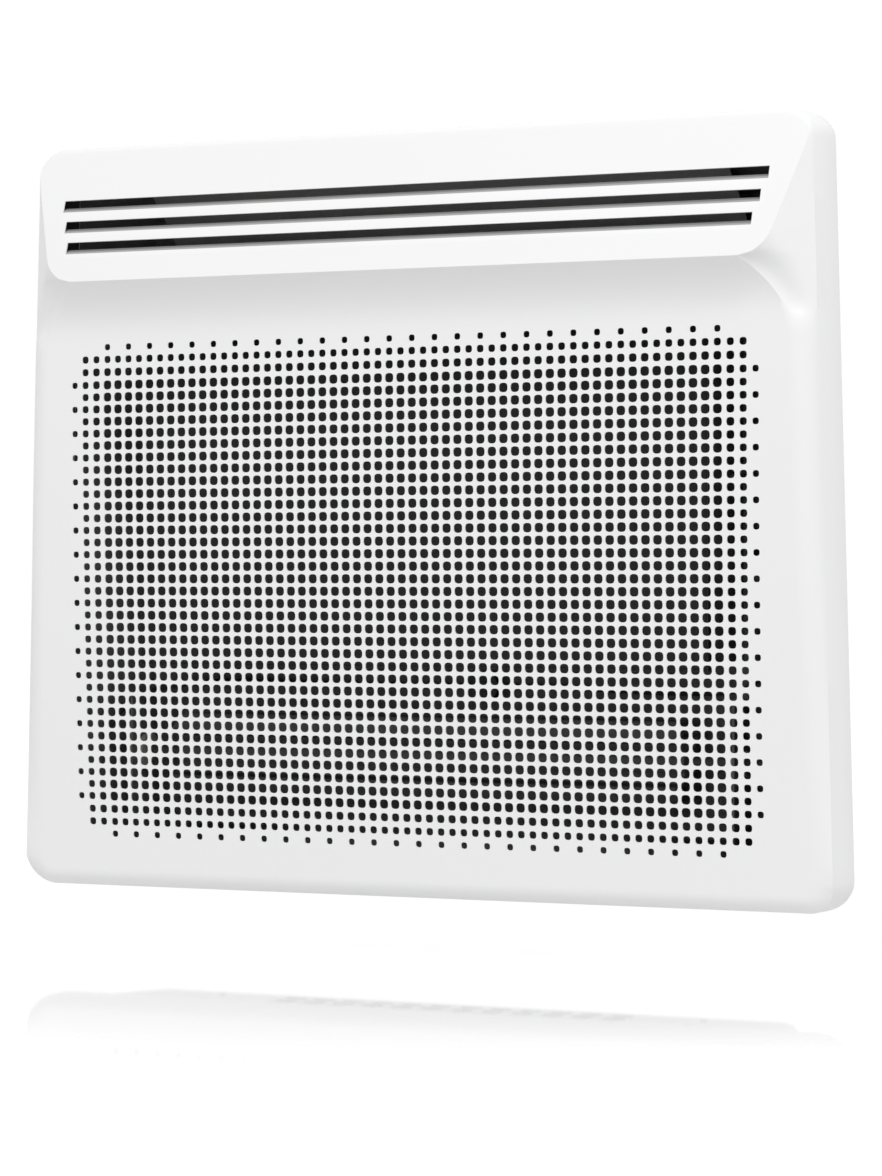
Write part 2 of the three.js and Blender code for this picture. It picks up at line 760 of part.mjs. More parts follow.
// A joggled tab below the bracket that stands off the wall and carries a turn latch.
function latchTab(hand) {
  const top = -bracketHeight / 2;
  const tab = alongX(outline([
    [0, top], [0, top - bracketSheet], [tabFrontY + bracketSheet, top - bracketSheet],
    [tabFrontY + bracketSheet, top - latchTabLength], [tabFrontY, top - latchTabLength], [tabFrontY, top]]),
  hand * latchOffset - latchTabWidth / 2, hand * latchOffset + latchTabWidth / 2);
  return cut(tab, barY(latchShankRadius + runGap, tabFrontY - bracketSheet, tabFrontY + 2 * bracketSheet,
    hand * latchOffset, latchZ, turnedSides));
}

function wallBracket() {
  const half = bracketWidth / 2;
  const plate = block([-half, bracketFrontY, -bracketHeight / 2], [half, 0, bracketHeight / 2]);
  const cheeks = sides.map(({ hand }) => block(
    [Math.min(hand * half, hand * (half - bracketSheet)), bracketReach, -bracketHeight / 2],
    [Math.max(hand * half, hand * (half - bracketSheet)), 0, bracketHeight / 2]));
  const windows = alongY(sides.map(({ hand }) => (
    rectangle(hand * bracketWindowOffset, 0, bracketWindowWidth, bracketWindowHeight))),
  -throughCut, throughCut);
  const holes = [-1, 1].flatMap((x) => [-1, 1].map((z) => barY(
    bracketHoleRadius, -throughCut, throughCut, x * bracketHoleOffsetX, z * bracketHoleOffsetZ)));
  const fittings = [bracketHook(-1), bracketHook(1), latchTab(-1), latchTab(1)];
  return cut(join(plate, ...cheeks, ...fittings), windows, ...holes);
}

place('wall_bracket', wallBracket(), materials.bracket);

// A quarter-turn latch: its bar lies across the casing's upright slot when it is locked.
const clipSeat = tabFrontY + bracketSheet + seatGap;
function turnLatch(x) {
  const barRear = casingRearY - casingSheet - seatGap;
  const armRear = tabFrontY - seatGap;
  const neckEnd = clipSeat + clipThickness + runGap + latchNeckEnd;
  const shank = barY(latchShankRadius, barRear - latchBarThickness, clipSeat, x, latchZ, turnedSides);
  const neck = barY(latchNeckRadius, tabFrontY, neckEnd, x, latchZ);
  const bar = block([x - latchBarLength / 2, barRear - latchBarThickness, latchZ - latchBarWidth / 2],
    [x + latchBarLength / 2, barRear, latchZ + latchBarWidth / 2]);
  const arm = block([x - latchArmWidth / 2, armRear - latchArmThickness, latchZ - latchArmLength],
    [x + latchArmWidth / 2, armRear, latchZ]);
  const hub = barY(latchHubRadius, armRear - latchArmThickness, armRear, x, latchZ, turnedSides);
  return join(shank, neck, bar, arm, hub);
}

function latchClip(x) {
  const rear = clipSeat + seatGap;
  return cut(barY(clipRadius, rear, rear + clipThickness, x, latchZ, turnedSides),
    barY(latchNeckRadius + runGap, rear - clipThickness, rear + 2 * clipThickness, x, latchZ));
}

for (const { side, hand } of sides) {
  place(`latch_${side}`, turnLatch(hand * latchOffset), materials.greyPlastic);
  place(`latch_clip_${side}`, latchClip(hand * latchOffset), materials.screw);
}

// ---------------------------------------------------------------- heat shield and air guide

const shieldY = -shieldStandOff;
const shieldHalf = casingRearHalf - shieldInset;
const shieldFootY = casingRearY - casingSheet - seatGap;

// Folded back along its top and bottom, so that its feet stand on the rear wall.
place('heat_shield', alongX(outline([
  [shieldFootY, shieldTop], [shieldY, shieldTop], [shieldY, shieldBottom], [shieldFootY, shieldBottom],
  [shieldFootY, shieldBottom + shieldSheet], [shieldY + shieldSheet, shieldBottom + shieldSheet],
  [shieldY + shieldSheet, shieldTop - shieldSheet], [shieldFootY, shieldTop - shieldSheet]].reverse()),
-shieldHalf, shieldHalf), materials.innerSheet);

// From the rear wall above the shield, curving forwards under the casing's top.
function airGuide() {
  const start = new THREE.Vector2(shieldFootY, shieldTop + seatGap);
  const knee = new THREE.Vector2(shieldFootY, guideFrontHeight - guideRise);
  const end = new THREE.Vector2(-guideFrontStandOff, guideFrontHeight);
  const bend = new THREE.QuadraticBezierCurve(start, knee, end);
  const steps = 10;
  const line = bend.getPoints(steps);
  const back = line.map((point, index) => {
    const along = bend.getTangent(index / steps);
    return new THREE.Vector2(point.x - along.y * guideSheet, point.y + along.x * guideSheet);
  });
  return alongX(new THREE.Shape([...line, ...back.reverse()]), -shieldHalf, shieldHalf);
}

place('air_guide', airGuide(), materials.innerSheet);

// ---------------------------------------------------------------- convection element

const elementY = -elementStandOff;
const elementBracketOffset = casingRearHalf - elementBracketInset;
const tubeEnd = elementBracketOffset + tubeReach;
const pinReach = tubeEnd + tubePinLength;

// Four arms in a cross, each with short ribs, on a round core bored for the tube.
function finBlock() {
  const half = elementBracketOffset - finBlockInset;
  const arms = [0, 1, 2, 3].flatMap((quarter) => {
    const turn = (quarter + 0.5) * Math.PI / 2;
    const inArm = (along, across) => [
      elementY + along * Math.cos(turn) - across * Math.sin(turn),
      elementHeight + along * Math.sin(turn) + across * Math.cos(turn)];
    const bar = (from, to, width) => alongX(outline([
      inArm(from, -width / 2), inArm(to, -width / 2),
      inArm(to, width / 2), inArm(from, width / 2)]), -half, half);
    const ribs = [];
    for (let at = finArmLength - finRibThickness; at > finCoreRadius + finRibThickness; at -= finRibPitch) {
      ribs.push(bar(at, at + finRibThickness, finRibLength * at / finArmLength));
    }
    return [bar(0, finArmLength, finArmThickness), ...ribs];
  });
  const core = barX(finCoreRadius, -half, half, elementY, elementHeight, turnedSides);
  const bore = barX(tubeRadius + seatGap, -half - throughCut, half + throughCut, elementY, elementHeight);
  return cut(join(core, ...arms), bore);
}

place('convection_fins', finBlock(), materials.aluminium);
place('heating_tube', join(
  barX(tubeRadius, -tubeEnd, tubeEnd, elementY, elementHeight),
  barX(tubePinRadius, -pinReach, pinReach, elementY, elementHeight, holeSides)), materials.tube);

const casingFloor = casingBottom + casingSheet + seatGap;

// Two distances from the middle, as a span on one side of it.
function spanOn(hand, near, far) {
  return [hand * near, hand * far].sort((low, high) => low - high);
}

// An upright plate with a foot on the casing's floor and a hole for the bush.
function elementBracket(hand) {
  const inner = elementBracketOffset - elementBracketSheet / 2;
  const [low, high] = spanOn(hand, inner, inner + elementBracketSheet);
  const [footLow, footHigh] = spanOn(hand, inner, elementBracketOffset + elementFootLength);
  const rear = elementY + elementBracketWidth / 2;
  const front = elementY - elementBracketWidth / 2;
  const plate = block([low, front, casingFloor], [high, rear, elementHeight + elementBracketRise]);
  const base = block([footLow, front + elementFootNotch, casingFloor],
    [footHigh, rear, casingFloor + elementBracketSheet]);
  const bore = barX(bushRadius + seatGap, low - elementBracketSheet, high + elementBracketSheet,
    elementY, elementHeight, turnedSides);
  return cut(join(plate, base), bore);
}

// A flanged sleeve in the bracket's hole, its flange on the inner side.
function ceramicBush(hand) {
  const near = elementBracketOffset - elementBracketSheet / 2 - seatGap;
  const far = elementBracketOffset + elementBracketSheet / 2 + bushReach;
  const flange = barX(bushFlangeRadius, ...spanOn(hand, near - bushFlangeThickness, near),
    elementY, elementHeight, turnedSides);
  const sleeve = barX(bushRadius, ...spanOn(hand, near - bushFlangeThickness / 2, far),
    elementY, elementHeight, turnedSides);
  const bore = barX(tubeRadius + seatGap, ...spanOn(hand, near - 2 * bushFlangeThickness, far + bushReach),
    elementY, elementHeight);
  return cut(join(flange, sleeve), bore);
}

for (const { side, hand } of sides) {
  place(`element_bracket_${side}`, elementBracket(hand), materials.screw);
  place(`ceramic_bush_${side}`, ceramicBush(hand), materials.ceramic);
}

// ---------------------------------------------------------------- infrared plate

const plateFrontY = -infraredStandOff;
const plateRearY = plateFrontY + infraredThickness;
const plateHalf = shieldHalf - infraredInset;

place('infrared_plate', block(
  [-plateHalf, plateFrontY, infraredMiddle - infraredHeight / 2],
  [plateHalf, plateRearY, infraredMiddle + infraredHeight / 2]), materials.mica);

// A shallow frame: rails behind the plate's edges, with a rim turned forwards round it.
function infraredFrame() {
  const halfHeight = infraredHeight / 2;
  const seatX = plateHalf + seatGap;
  const seatZ = halfHeight + seatGap;
  const openX = plateHalf - frameRail;
  const openZ = halfHeight - frameRail;
  const rear = plateRearY + seatGap + frameSheet;
  const solid = block([-seatX - frameSheet, plateFrontY, infraredMiddle - seatZ - frameSheet],
    [seatX + frameSheet, rear, infraredMiddle + seatZ + frameSheet]);
  const seat = block([-seatX, plateFrontY - frameSheet, infraredMiddle - seatZ],
    [seatX, plateRearY + seatGap, infraredMiddle + seatZ]);
  const window = block([-openX, plateFrontY, infraredMiddle - openZ],
    [openX, rear + frameSheet, infraredMiddle + openZ]);
  return cut(solid, seat, window, ...frameScrewPlaces().map(([x, z]) => (
    barY(screwRadius + runGap, plateRearY - frameSheet, rear + frameSheet, x, z, holeSides))));
}

function frameScrewPlaces() {
  const screwX = plateHalf - frameRail / 2 - frameScrewInset;
  return sides.flatMap(({ hand }) => [-1, 1].map((end) => (
    [hand * screwX, infraredMiddle + end * frameScrewHeight])));
}

place('infrared_frame', infraredFrame(), materials.innerSheet);

// A Z-section upright from the shield's face to the back of the frame.
const stileFrontY = plateRearY + 2 * seatGap + frameSheet;
const stileRearY = shieldY - seatGap;
function frameStile(hand) {
  const outer = plateHalf + frameSheet;
  const inner = outer - stileFlange;
  const section = [
    [outer, stileFrontY], [outer, stileRearY - frameSheet], [outer + stileFoot, stileRearY - frameSheet],
    [outer + stileFoot, stileRearY], [outer - frameSheet, stileRearY],
    [outer - frameSheet, stileFrontY + frameSheet], [inner, stileFrontY + frameSheet],
    [inner, stileFrontY]].map(([x, y]) => [hand * x, y]);
  const low = infraredMiddle - stileHeight / 2;
  const stile = alongZ(outline(section), low, low + stileHeight);
  const screwHoles = frameScrewPlaces().filter(([x]) => Math.sign(x) === hand).map(([x, z]) => (
    barY(screwRadius + runGap, stileFrontY - frameSheet, stileFrontY + 2 * frameSheet, x, z, holeSides)));
  return cut(stile, ...screwHoles);
}

for (const { side, hand } of sides) {
  place(`frame_stile_${side}`, frameStile(hand), materials.innerSheet);
}
frameScrewPlaces().forEach(([x, z], index) => {
  const headY = stileFrontY + frameSheet + seatGap;
  const length = headY - plateRearY - seatGap;
  place(`frame_screw_${index + 1}`, screwY(x, z, headY, length), materials.screw);
});

// ---------------------------------------------------------------- small parts inside

const shieldFace = shieldY - seatGap;
const rearWallFace = casingRearY - casingSheet - seatGap;

// A box that sits on the shield's face, from its width, height and depth.
function onShield([x, z], [width, height, depth]) {
  return block([x - width / 2, shieldFace - depth, z - height / 2],
    [x + width / 2, shieldFace, z + height / 2]);
}

const [cutoutButtonRadius, cutoutButtonHeight] = cutoutButton;
const cutoutFace = shieldFace - cutoutHeight;
place('thermal_cutout', join(onShield(cutoutPlace, cutoutPlate),
  barY(cutoutRadius, cutoutFace, shieldFace - seatGap, ...cutoutPlace, turnedSides),
  barY(cutoutButtonRadius, cutoutFace - cutoutButtonHeight, cutoutFace + seatGap, ...cutoutPlace, holeSides)),
materials.blackPlastic);

place('tilt_switch', join(onShield(tiltSwitchPlace, tiltSwitchSize),
  onShield(tiltSwitchPlace, tiltSwitchEars)), materials.blackPlastic);

const sensorY = -sensorStandOff;
const sensorX = casingHalfWidth(sensorY) - sensorInset;
const [clipX, clipY, clipZ] = sensorClip;
const clipFrontY = sensorY - clipY / 2;
place('room_sensor', join(
  block([sensorX - clipX / 2, clipFrontY, casingFloor],
    [sensorX + clipX / 2, sensorY + clipY / 2, casingFloor + clipZ]),
  barY(sensorBeadRadius, clipFrontY - sensorBeadReach, sensorY, sensorX, casingFloor + clipZ / 2, holeSides)),
materials.blackPlastic);

const terminalX = casingRearHalf - terminalInset;
function terminalBlock() {
  const [width, depth, height] = terminalSize;
  const [wellRadius, wellDepth] = terminalWell;
  const face = rearWallFace - depth;
  const body = block([terminalX - width / 2, face, terminalHeight - height / 2],
    [terminalX + width / 2, rearWallFace, terminalHeight + height / 2]);
  const wells = row(terminalWays, height / terminalWays, terminalHeight).map((z) => (
    barY(wellRadius, face - wellDepth, face + wellDepth, terminalX, z, holeSides)));
  return cut(body, ...wells);
}

place('terminal_block', terminalBlock(), materials.whitePlastic);

// ---------------------------------------------------------------- control unit

const control = new THREE.Group();
control.position.copy(controlFrame.position);
control.rotation.copy(controlFrame.rotation);
heater.add(control);

const fasciaBack = seatGap;
const fasciaFace = fasciaBack + fasciaThickness;
const boardFace = fasciaBack - boardDepth;
const switchHalfWidth = rockerWidth / 2 + runGap + switchWall;
const switchHalfHeight = rockerHeight / 2 + 3 * runGap + switchWall;

// A box across the unit, from x0 to x1, about a height.
function boxAbout(x0, x1, width, height, z) {
  return block([x0, -width / 2, z - height / 2], [x1, width / 2, z + height / 2]);
}

// An open tub behind the wall, with posts that carry the board.
function controlHousing() {
  const innerWidth = housingWidth - 2 * housingWall;
  const innerHeight = housingHeight - 2 * housingWall;
  const tub = cut(boxAbout(-housingDepth, 0, housingWidth, housingHeight, 0),
    boxAbout(housingWall - housingDepth, housingWall, innerWidth, innerHeight, 0));
  const postTop = boardFace - boardThickness - seatGap;
  const posts = row(2, postSpacing).flatMap((y) => (
    [boardTop - postInset, boardBottom + postInset].map((z) => (
      barX(postRadius, housingWall / 2 - housingDepth, postTop, y, z, holeSides)))));
  return join(tub, ...posts);
}

const [displayZ, displayY] = displaySize;
function controlFascia() {
  const through = [fasciaBack - fasciaThickness, fasciaFace + fasciaThickness];
  const switchWidth = 2 * (switchHalfWidth + seatGap);
  const switchHeight = 2 * (switchHalfHeight + seatGap);
  return cut(boxAbout(fasciaBack, fasciaFace, fasciaWidth, fasciaHeight, 0),
    boxAbout(...through, displayY, displayZ, displayHeight),
    boxAbout(...through, switchWidth, switchHeight, rockerMiddle),
    ...buttonHeights.map((z) => barX(buttonRadius + runGap, ...through, 0, z, turnedSides)));
}

place('control_housing', controlHousing(), materials.greyPlastic, control);
place('control_fascia', controlFascia(), materials.whitePlastic, control);

// The board carries a press switch behind each button, the display module and a relay.
function controlBoard() {
  const partBack = boardFace - boardSink;
  const board = block([boardFace - boardThickness, -boardWidth / 2, boardBottom],
    [boardFace, boardWidth / 2, boardTop]);
  const tacts = buttonHeights.map((z) => boxAbout(partBack, boardFace + tactHeight, tactSize, tactSize, z));
  const module = boxAbout(partBack, fasciaBack - seatGap, displayY - 2 * displayInset,
    displayZ - 2 * displayInset, displayHeight);
  const [relayDepth, relayWidth, relayHeight] = relaySize;
  const [sideInset, lowInset] = relayInset;
  const relayY = sideInset - boardWidth / 2;
  const relay = block([partBack, relayY, boardBottom + lowInset],
    [boardFace + relayDepth, relayY + relayWidth, boardBottom + lowInset + relayHeight]);
  return join(board, ...tacts, module, relay);
}

place('control_board', controlBoard(), materials.board, control);
place('display_window', boxAbout(fasciaBack, fasciaFace - displayRecess, displayY - 2 * seatGap,
  displayZ - 2 * seatGap, displayHeight), materials.window, control);

// A cap with a flange that stays behind the fascia and a stem that reaches the press switch.
['mode', 'minus', 'plus', 'timer'].forEach((name, index) => {
  const z = buttonHeights[index];
  const flangeFront = fasciaBack - seatGap;
  const flangeBack = flangeFront - buttonFlangeThickness;
  const stemEnd = boardFace + tactHeight + buttonTravel + runGap;
  place(`button_${name}`, join(
    barX(buttonRadius, flangeBack, fasciaFace + buttonProud, 0, z, turnedSides),
    barX(buttonFlangeRadius, flangeBack, flangeFront, 0, z, turnedSides),
    barX(buttonStemRadius, stemEnd, flangeFront, 0, z, holeSides)), materials.greyPlastic, control);
});

// Switch body with a bezel on the fascia and a well for the rocker and its trunnions.
const bezelBack = fasciaFace + seatGap;
const bezelFace = bezelBack + switchBezelThickness;
const pivotX = fasciaFace - rockerPivotDepth;

function trunnion(radius, length) {
  const geometry = new THREE.CylinderGeometry(radius, radius, length, holeSides);
  geometry.translate(pivotX, 0, rockerMiddle);
  return solidOf(geometry);
}

function powerSwitch() {
  const body = boxAbout(-switchDepth, bezelFace, 2 * switchHalfWidth, 2 * switchHalfHeight, rockerMiddle);
  const bezel = boxAbout(bezelBack, bezelFace, ...switchBezel, rockerMiddle);
  const wellWidth = 2 * (switchHalfWidth - switchWall);
  const wellHeight = 2 * (switchHalfHeight - switchWall);
  const well = boxAbout(bezelFace - switchWellDepth, bezelFace + switchWall,
    wellWidth, wellHeight, rockerMiddle);
  const seatLength = rockerWidth + 2 * (2 * runGap + trunnionReach);
  return cut(join(body, bezel), well, trunnion(trunnionRadius + runGap, seatLength));
}

// The rocker's face is a shallow V; at rest its lower half is pressed in.
function powerRocker() {
  const half = rockerHeight / 2;
  const footHalf = rockerFootHeight / 2;
  const foot = -rockerFootDepth;
  const face = bezelFace + rockerProud - pivotX;
  const tilt = THREE.MathUtils.degToRad(rockerTilt);
  const side = [[foot, -footHalf], [foot, footHalf], [face - rockerEndDepth, half],
    [face, half - rockerEndChamfer], [face - half * Math.tan(tilt), 0],
    [face, rockerEndChamfer - half], [face - rockerEndDepth, -half]];
  const turned = side.map(([x, z]) => new THREE.Vector2(x, z).rotateAround(new THREE.Vector2(), tilt));
  const shape = new THREE.Shape(turned.map(({ x, y }) => new THREE.Vector2(x + pivotX, y + rockerMiddle)));
  return join(alongY(shape, -rockerWidth / 2, rockerWidth / 2),
    trunnion(trunnionRadius, rockerWidth + 2 * (runGap + trunnionReach)));
}

place('power_switch', powerSwitch(), materials.blackPlastic, control);
place('power_rocker', powerRocker(), materials.blackPlastic, control);

// ---------------------------------------------------------------- internal leads

// A point of the control unit's frame, in the heater's frame.
function fromControl(x, y, z) {
  return controlFrame.localToWorld(new THREE.Vector3(x, y, z)).toArray();
}

// A point this far inside one of the casing's side walls.
function besideWall(hand, inset, y, z) {
  return [hand * (casingHalfWidth(y) - inset), y, z];
}

function lead(points) {
  const places = points.map((point) => new THREE.Vector3(...point));
  const curve = new THREE.CatmullRomCurve3(places, false, 'centripetal');
  const section = new THREE.Shape();
  section.absarc(0, 0, leadRadius, 0, 2 * Math.PI);
  return solidOf(new THREE.ExtrudeGeometry(section, {
    extrudePath: curve, steps: Math.ceil(curve.getLength() / leadStep), curveSegments: leadSides / 2 }));
}

const terminalTop = terminalHeight + terminalSize[2] / 2 + seatGap;
const terminalY = rearWallFace - terminalSize[1] / 2;
const housingFloor = -housingHeight / 2 - seatGap;
const pinEnd = pinReach + seatGap;
const cutoutSide = cutoutRadius + seatGap;
const cutoutY = shieldFace - cutoutHeight / 2 - 1;
const [cutoutX, cutoutZ] = cutoutPlace;

place('lead_supply', lead([
  [terminalX, terminalY, terminalTop], [terminalX, terminalY, terminalTop + 8],
  [terminalX + 7, terminalY - 8, 8], fromControl(-10, 8, housingFloor - 12),
  fromControl(-10, 8, housingFloor)]), materials.lead);
place('lead_cutout', lead([
  fromControl(-18, 4, housingFloor), fromControl(-18, 4, housingFloor - 12), besideWall(1, 21.8, -46, -40),
  besideWall(1, 23.9, -38, -84), [shieldHalf - 3, cutoutY, cutoutZ], [60, cutoutY, cutoutZ],
  [cutoutX + cutoutSide, cutoutY, cutoutZ]]), materials.lead);
place('lead_return', lead([
  [cutoutX - cutoutSide, cutoutY, cutoutZ], [-60, cutoutY, cutoutZ], [13 - shieldHalf, cutoutY - 4, cutoutZ],
  besideWall(-1, 18.8, -48, cutoutZ - 8), [-pinEnd - 6, elementY, elementHeight + 12],
  [-pinEnd - 5, elementY, elementHeight], [-pinEnd, elementY, elementHeight]]), materials.lead);
place('lead_element', lead([
  fromControl(-6, -2, housingFloor), fromControl(-6, -2, housingFloor - 14), besideWall(1, 11.7, -56, -60),
  [pinEnd + 6, elementY, elementHeight + 12], [pinEnd + 5, elementY, elementHeight],
  [pinEnd, elementY, elementHeight]]), materials.lead);
place('lead_infrared', lead([
  fromControl(-12, -12, housingFloor), fromControl(-12, -12, housingFloor - 10),
  [plateHalf + 18, plateRearY + 6, infraredMiddle + 14], [plateHalf + 10, plateRearY, infraredMiddle + 10],
  [plateHalf + frameSheet + 2 * seatGap, plateFrontY + 2, infraredMiddle + 8]]), materials.lead);
place('lead_sensor', lead([
  fromControl(-5, 10, housingFloor), fromControl(-5, 10, housingFloor - 14), besideWall(1, 3.8, -44, -60),
  [sensorX + 2, sensorY, -150], [sensorX, sensorY, casingFloor + clipZ + seatGap]]), materials.lead);

export default heater;
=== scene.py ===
"""Wall panel convector heater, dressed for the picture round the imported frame.

Metres, +Z up, the wall at Y = 0 and the front facing -Y. Each section below makes one
piece or one group of like pieces, in the order in which the heater is put together.
"""

import math

import bmesh
import bpy
import numpy as np
from mathutils import Matrix, Vector


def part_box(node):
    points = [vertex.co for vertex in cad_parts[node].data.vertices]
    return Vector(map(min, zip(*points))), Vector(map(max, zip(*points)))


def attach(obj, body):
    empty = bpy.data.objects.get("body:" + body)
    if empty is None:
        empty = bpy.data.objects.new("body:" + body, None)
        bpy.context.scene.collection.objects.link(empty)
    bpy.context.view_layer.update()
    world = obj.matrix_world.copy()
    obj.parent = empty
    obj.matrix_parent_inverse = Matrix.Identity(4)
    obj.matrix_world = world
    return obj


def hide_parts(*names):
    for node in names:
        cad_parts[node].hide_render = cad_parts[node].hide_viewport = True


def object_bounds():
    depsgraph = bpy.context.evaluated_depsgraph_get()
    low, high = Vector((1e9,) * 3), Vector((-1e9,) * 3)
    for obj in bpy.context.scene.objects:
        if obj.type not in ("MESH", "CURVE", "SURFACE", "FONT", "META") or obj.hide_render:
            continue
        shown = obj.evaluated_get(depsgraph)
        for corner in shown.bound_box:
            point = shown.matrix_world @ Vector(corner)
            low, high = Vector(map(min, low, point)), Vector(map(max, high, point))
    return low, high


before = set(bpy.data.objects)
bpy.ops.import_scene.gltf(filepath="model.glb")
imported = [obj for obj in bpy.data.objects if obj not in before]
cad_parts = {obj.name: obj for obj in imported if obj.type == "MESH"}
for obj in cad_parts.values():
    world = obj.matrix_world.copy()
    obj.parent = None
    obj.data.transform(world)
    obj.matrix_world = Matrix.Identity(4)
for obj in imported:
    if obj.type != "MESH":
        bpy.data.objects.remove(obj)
cad_box = [list(corner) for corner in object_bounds()]
mm = 0.001

# ---------------------------------------------------------------- camera
# The picture was taken with a long lens from the heater's right, a little below its
# middle and dead level.
camera_data = bpy.data.cameras.new("camera")
camera_data.lens = 115.27
camera_data.sensor_width = 36
camera_data.shift_y = -0.00798
camera = bpy.data.objects.new("camera", camera_data)
camera.location = (0.8916, -1.8946, -0.0332)
camera.rotation_euler = (math.radians(90), 0, math.radians(25.798))
bpy.context.scene.collection.objects.link(camera)
bpy.context.scene.camera = camera


# ---------------------------------------------------------------- studio
# A white light table with a clear polished top, close under the hanging heater, an even
# white room, and one large soft lamp above and to the right.
class Wire:
    """A value in a material. Expressions on it add Math nodes; node() adds any other node."""

    def __init__(self, tree, socket=None):
        self.tree = tree
        self.socket = socket

    def node(self, kind, settings, inputs, output=0):
        made = self.tree.nodes.new(kind)
        for name, value in settings.items():
            setattr(made, name, value)
        for name, value in inputs.items():
            if isinstance(value, Wire):
                self.tree.links.new(value.socket, made.inputs[name])
            else:
                made.inputs[name].default_value = value
        return Wire(self.tree, made.outputs[output])

    def maths(self, operation, *values):
        return self.node("ShaderNodeMath", {"operation": operation}, dict(enumerate(values)))

    def __add__(self, other):
        return self.maths("ADD", self, other)

    def __mul__(self, other):
        return self.maths("MULTIPLY", self, other)

    __radd__ = __add__
    __rmul__ = __mul__


gloss_spread = 0.06
mottle_scale = 9.0
relief_strength = 0.5


def surface(name, colour, roughness, metallic=0.0, grain=0.0004, depth=0.00002, mottle=0.03, coat=0.0):
    """A finish with a fine grain in its gloss and relief and a faint unevenness in its colour."""
    material = bpy.data.materials.new(name)
    material.use_nodes = True
    tree = material.node_tree
    shader = tree.nodes["Principled BSDF"]
    wires = Wire(tree)
    place = wires.node("ShaderNodeTexCoord", {}, {}, "Object")
    fine = wires.node("ShaderNodeTexNoise", {}, {"Vector": place, "Scale": 1 / grain, "Detail": 2.0}, "Fac")
    broad = wires.node("ShaderNodeTexNoise", {}, {"Vector": place, "Scale": mottle_scale, "Detail": 3.0},
                       "Fac")
    darker = tuple(part * (1 - mottle) for part in colour)
    shade = wires.node("ShaderNodeMix", {"data_type": "RGBA"},
                       {"Factor": broad, 6: (*colour, 1), 7: (*darker, 1)}, 2)
    bump = wires.node("ShaderNodeBump", {}, {"Height": fine, "Distance": depth, "Strength": relief_strength})
    tree.links.new(shade.socket, shader.inputs["Base Color"])
    gloss = fine * gloss_spread + (roughness - gloss_spread / 2)
    tree.links.new(gloss.socket, shader.inputs["Roughness"])
    tree.links.new(bump.socket, shader.inputs["Normal"])
    shader.inputs["Metallic"].default_value = metallic
    shader.inputs["Coat Weight"].default_value = coat
    return material


def lamp(name, place, target, size, power):
    data = bpy.data.lights.new(name, "AREA")
    data.shape = "RECTANGLE"
    data.size, data.size_y = size
    data.energy = power
    holder = bpy.data.objects.new(name, data)
    holder.location = place
    holder.rotation_euler = (Vector(target) - Vector(place)).to_track_quat("-Z", "Y").to_euler()
    bpy.context.scene.collection.objects.link(holder)


floor_drop = 31 * mm
floor_reach = 8
floor_height = cad_box[0][2] - floor_drop
floor_form = bmesh.new()
bmesh.ops.create_grid(floor_form, x_segments=2, y_segments=2, size=floor_reach,
                      matrix=Matrix.Translation((0, 0, floor_height)))
floor_mesh = bpy.data.meshes.new("floor")
floor_form.to_mesh(floor_mesh)
floor_form.free()
floor = bpy.data.objects.new("floor", floor_mesh)
bpy.context.scene.collection.objects.link(floor)

# The polish fades out with the distance from the heater's middle. The table shines a
# little less on the heater than it looks to the camera.
polish_from, polish_to = 0.43, 0.62
polish_near, polish_far = 0.45, 0.02
glow_seen, glow_cast = 0.93, 0.75
table_top = bpy.data.materials.new("light_table")
table_top.use_nodes = True
wires = Wire(table_top.node_tree)
place = wires.node("ShaderNodeTexCoord", {}, {}, "Object")
away = wires.node("ShaderNodeVectorMath", {"operation": "LENGTH"}, {0: place}, "Value")
polish = wires.node("ShaderNodeMapRange", {"interpolation_type": "SMOOTHSTEP"},
                    {"Value": away, "From Min": polish_from, "From Max": polish_to,
                     "To Min": polish_near, "To Max": polish_far})
seen = wires.node("ShaderNodeLightPath", {}, {}, "Is Camera Ray")
glow, dimmed = (wires.node("ShaderNodeBsdfPrincipled", {}, {
    "Base Color": (0.1, 0.1, 0.1, 1), "Specular IOR Level": 0.0,
    "Emission Color": (1, 1, 1, 1), "Emission Strength": strength}, "BSDF")
    for strength in (glow_seen, glow_cast))
white = wires.node("ShaderNodeMixShader", {}, {0: seen, 1: dimmed, 2: glow}, "Shader")
mirror = wires.node("ShaderNodeBsdfPrincipled", {}, {
    "Base Color": (1, 1, 1, 1), "Metallic": 1.0, "Roughness": 0.04}, "BSDF")
blend = wires.node("ShaderNodeMixShader", {}, {0: polish, 1: white, 2: mirror}, "Shader")
table_top.node_tree.links.new(blend.socket, table_top.node_tree.nodes["Material Output"].inputs["Surface"])
floor_mesh.materials.append(table_top)

room_glow, backdrop_glow = 0.92, 1.0
world = bpy.data.worlds.new("studio")
world.use_nodes = True
wires = Wire(world.node_tree)
seen = (wires.node("ShaderNodeLightPath", {}, {}, "Is Camera Ray")
        + wires.node("ShaderNodeLightPath", {}, {}, "Is Glossy Ray"))
room = wires.node("ShaderNodeBackground", {}, {"Color": (1, 1, 1, 1), "Strength": room_glow}, "Background")
backdrop = wires.node("ShaderNodeBackground", {}, {"Color": (1, 1, 1, 1), "Strength": backdrop_glow},
                      "Background")
blend = wires.node("ShaderNodeMixShader", {}, {0: seen, 1: room, 2: backdrop}, "Shader")
world.node_tree.links.new(blend.socket, world.node_tree.nodes["World Output"].inputs["Surface"])
bpy.context.scene.world = world
bpy.context.scene.view_settings.view_transform = "Standard"
heater_middle = (0, -60 * mm, 0)
key_place = (1.0, -1.65, 2.2)
key_size = (1.6, 1.2)
key_power = 36
lamp("key_lamp", key_place, heater_middle, key_size, key_power)


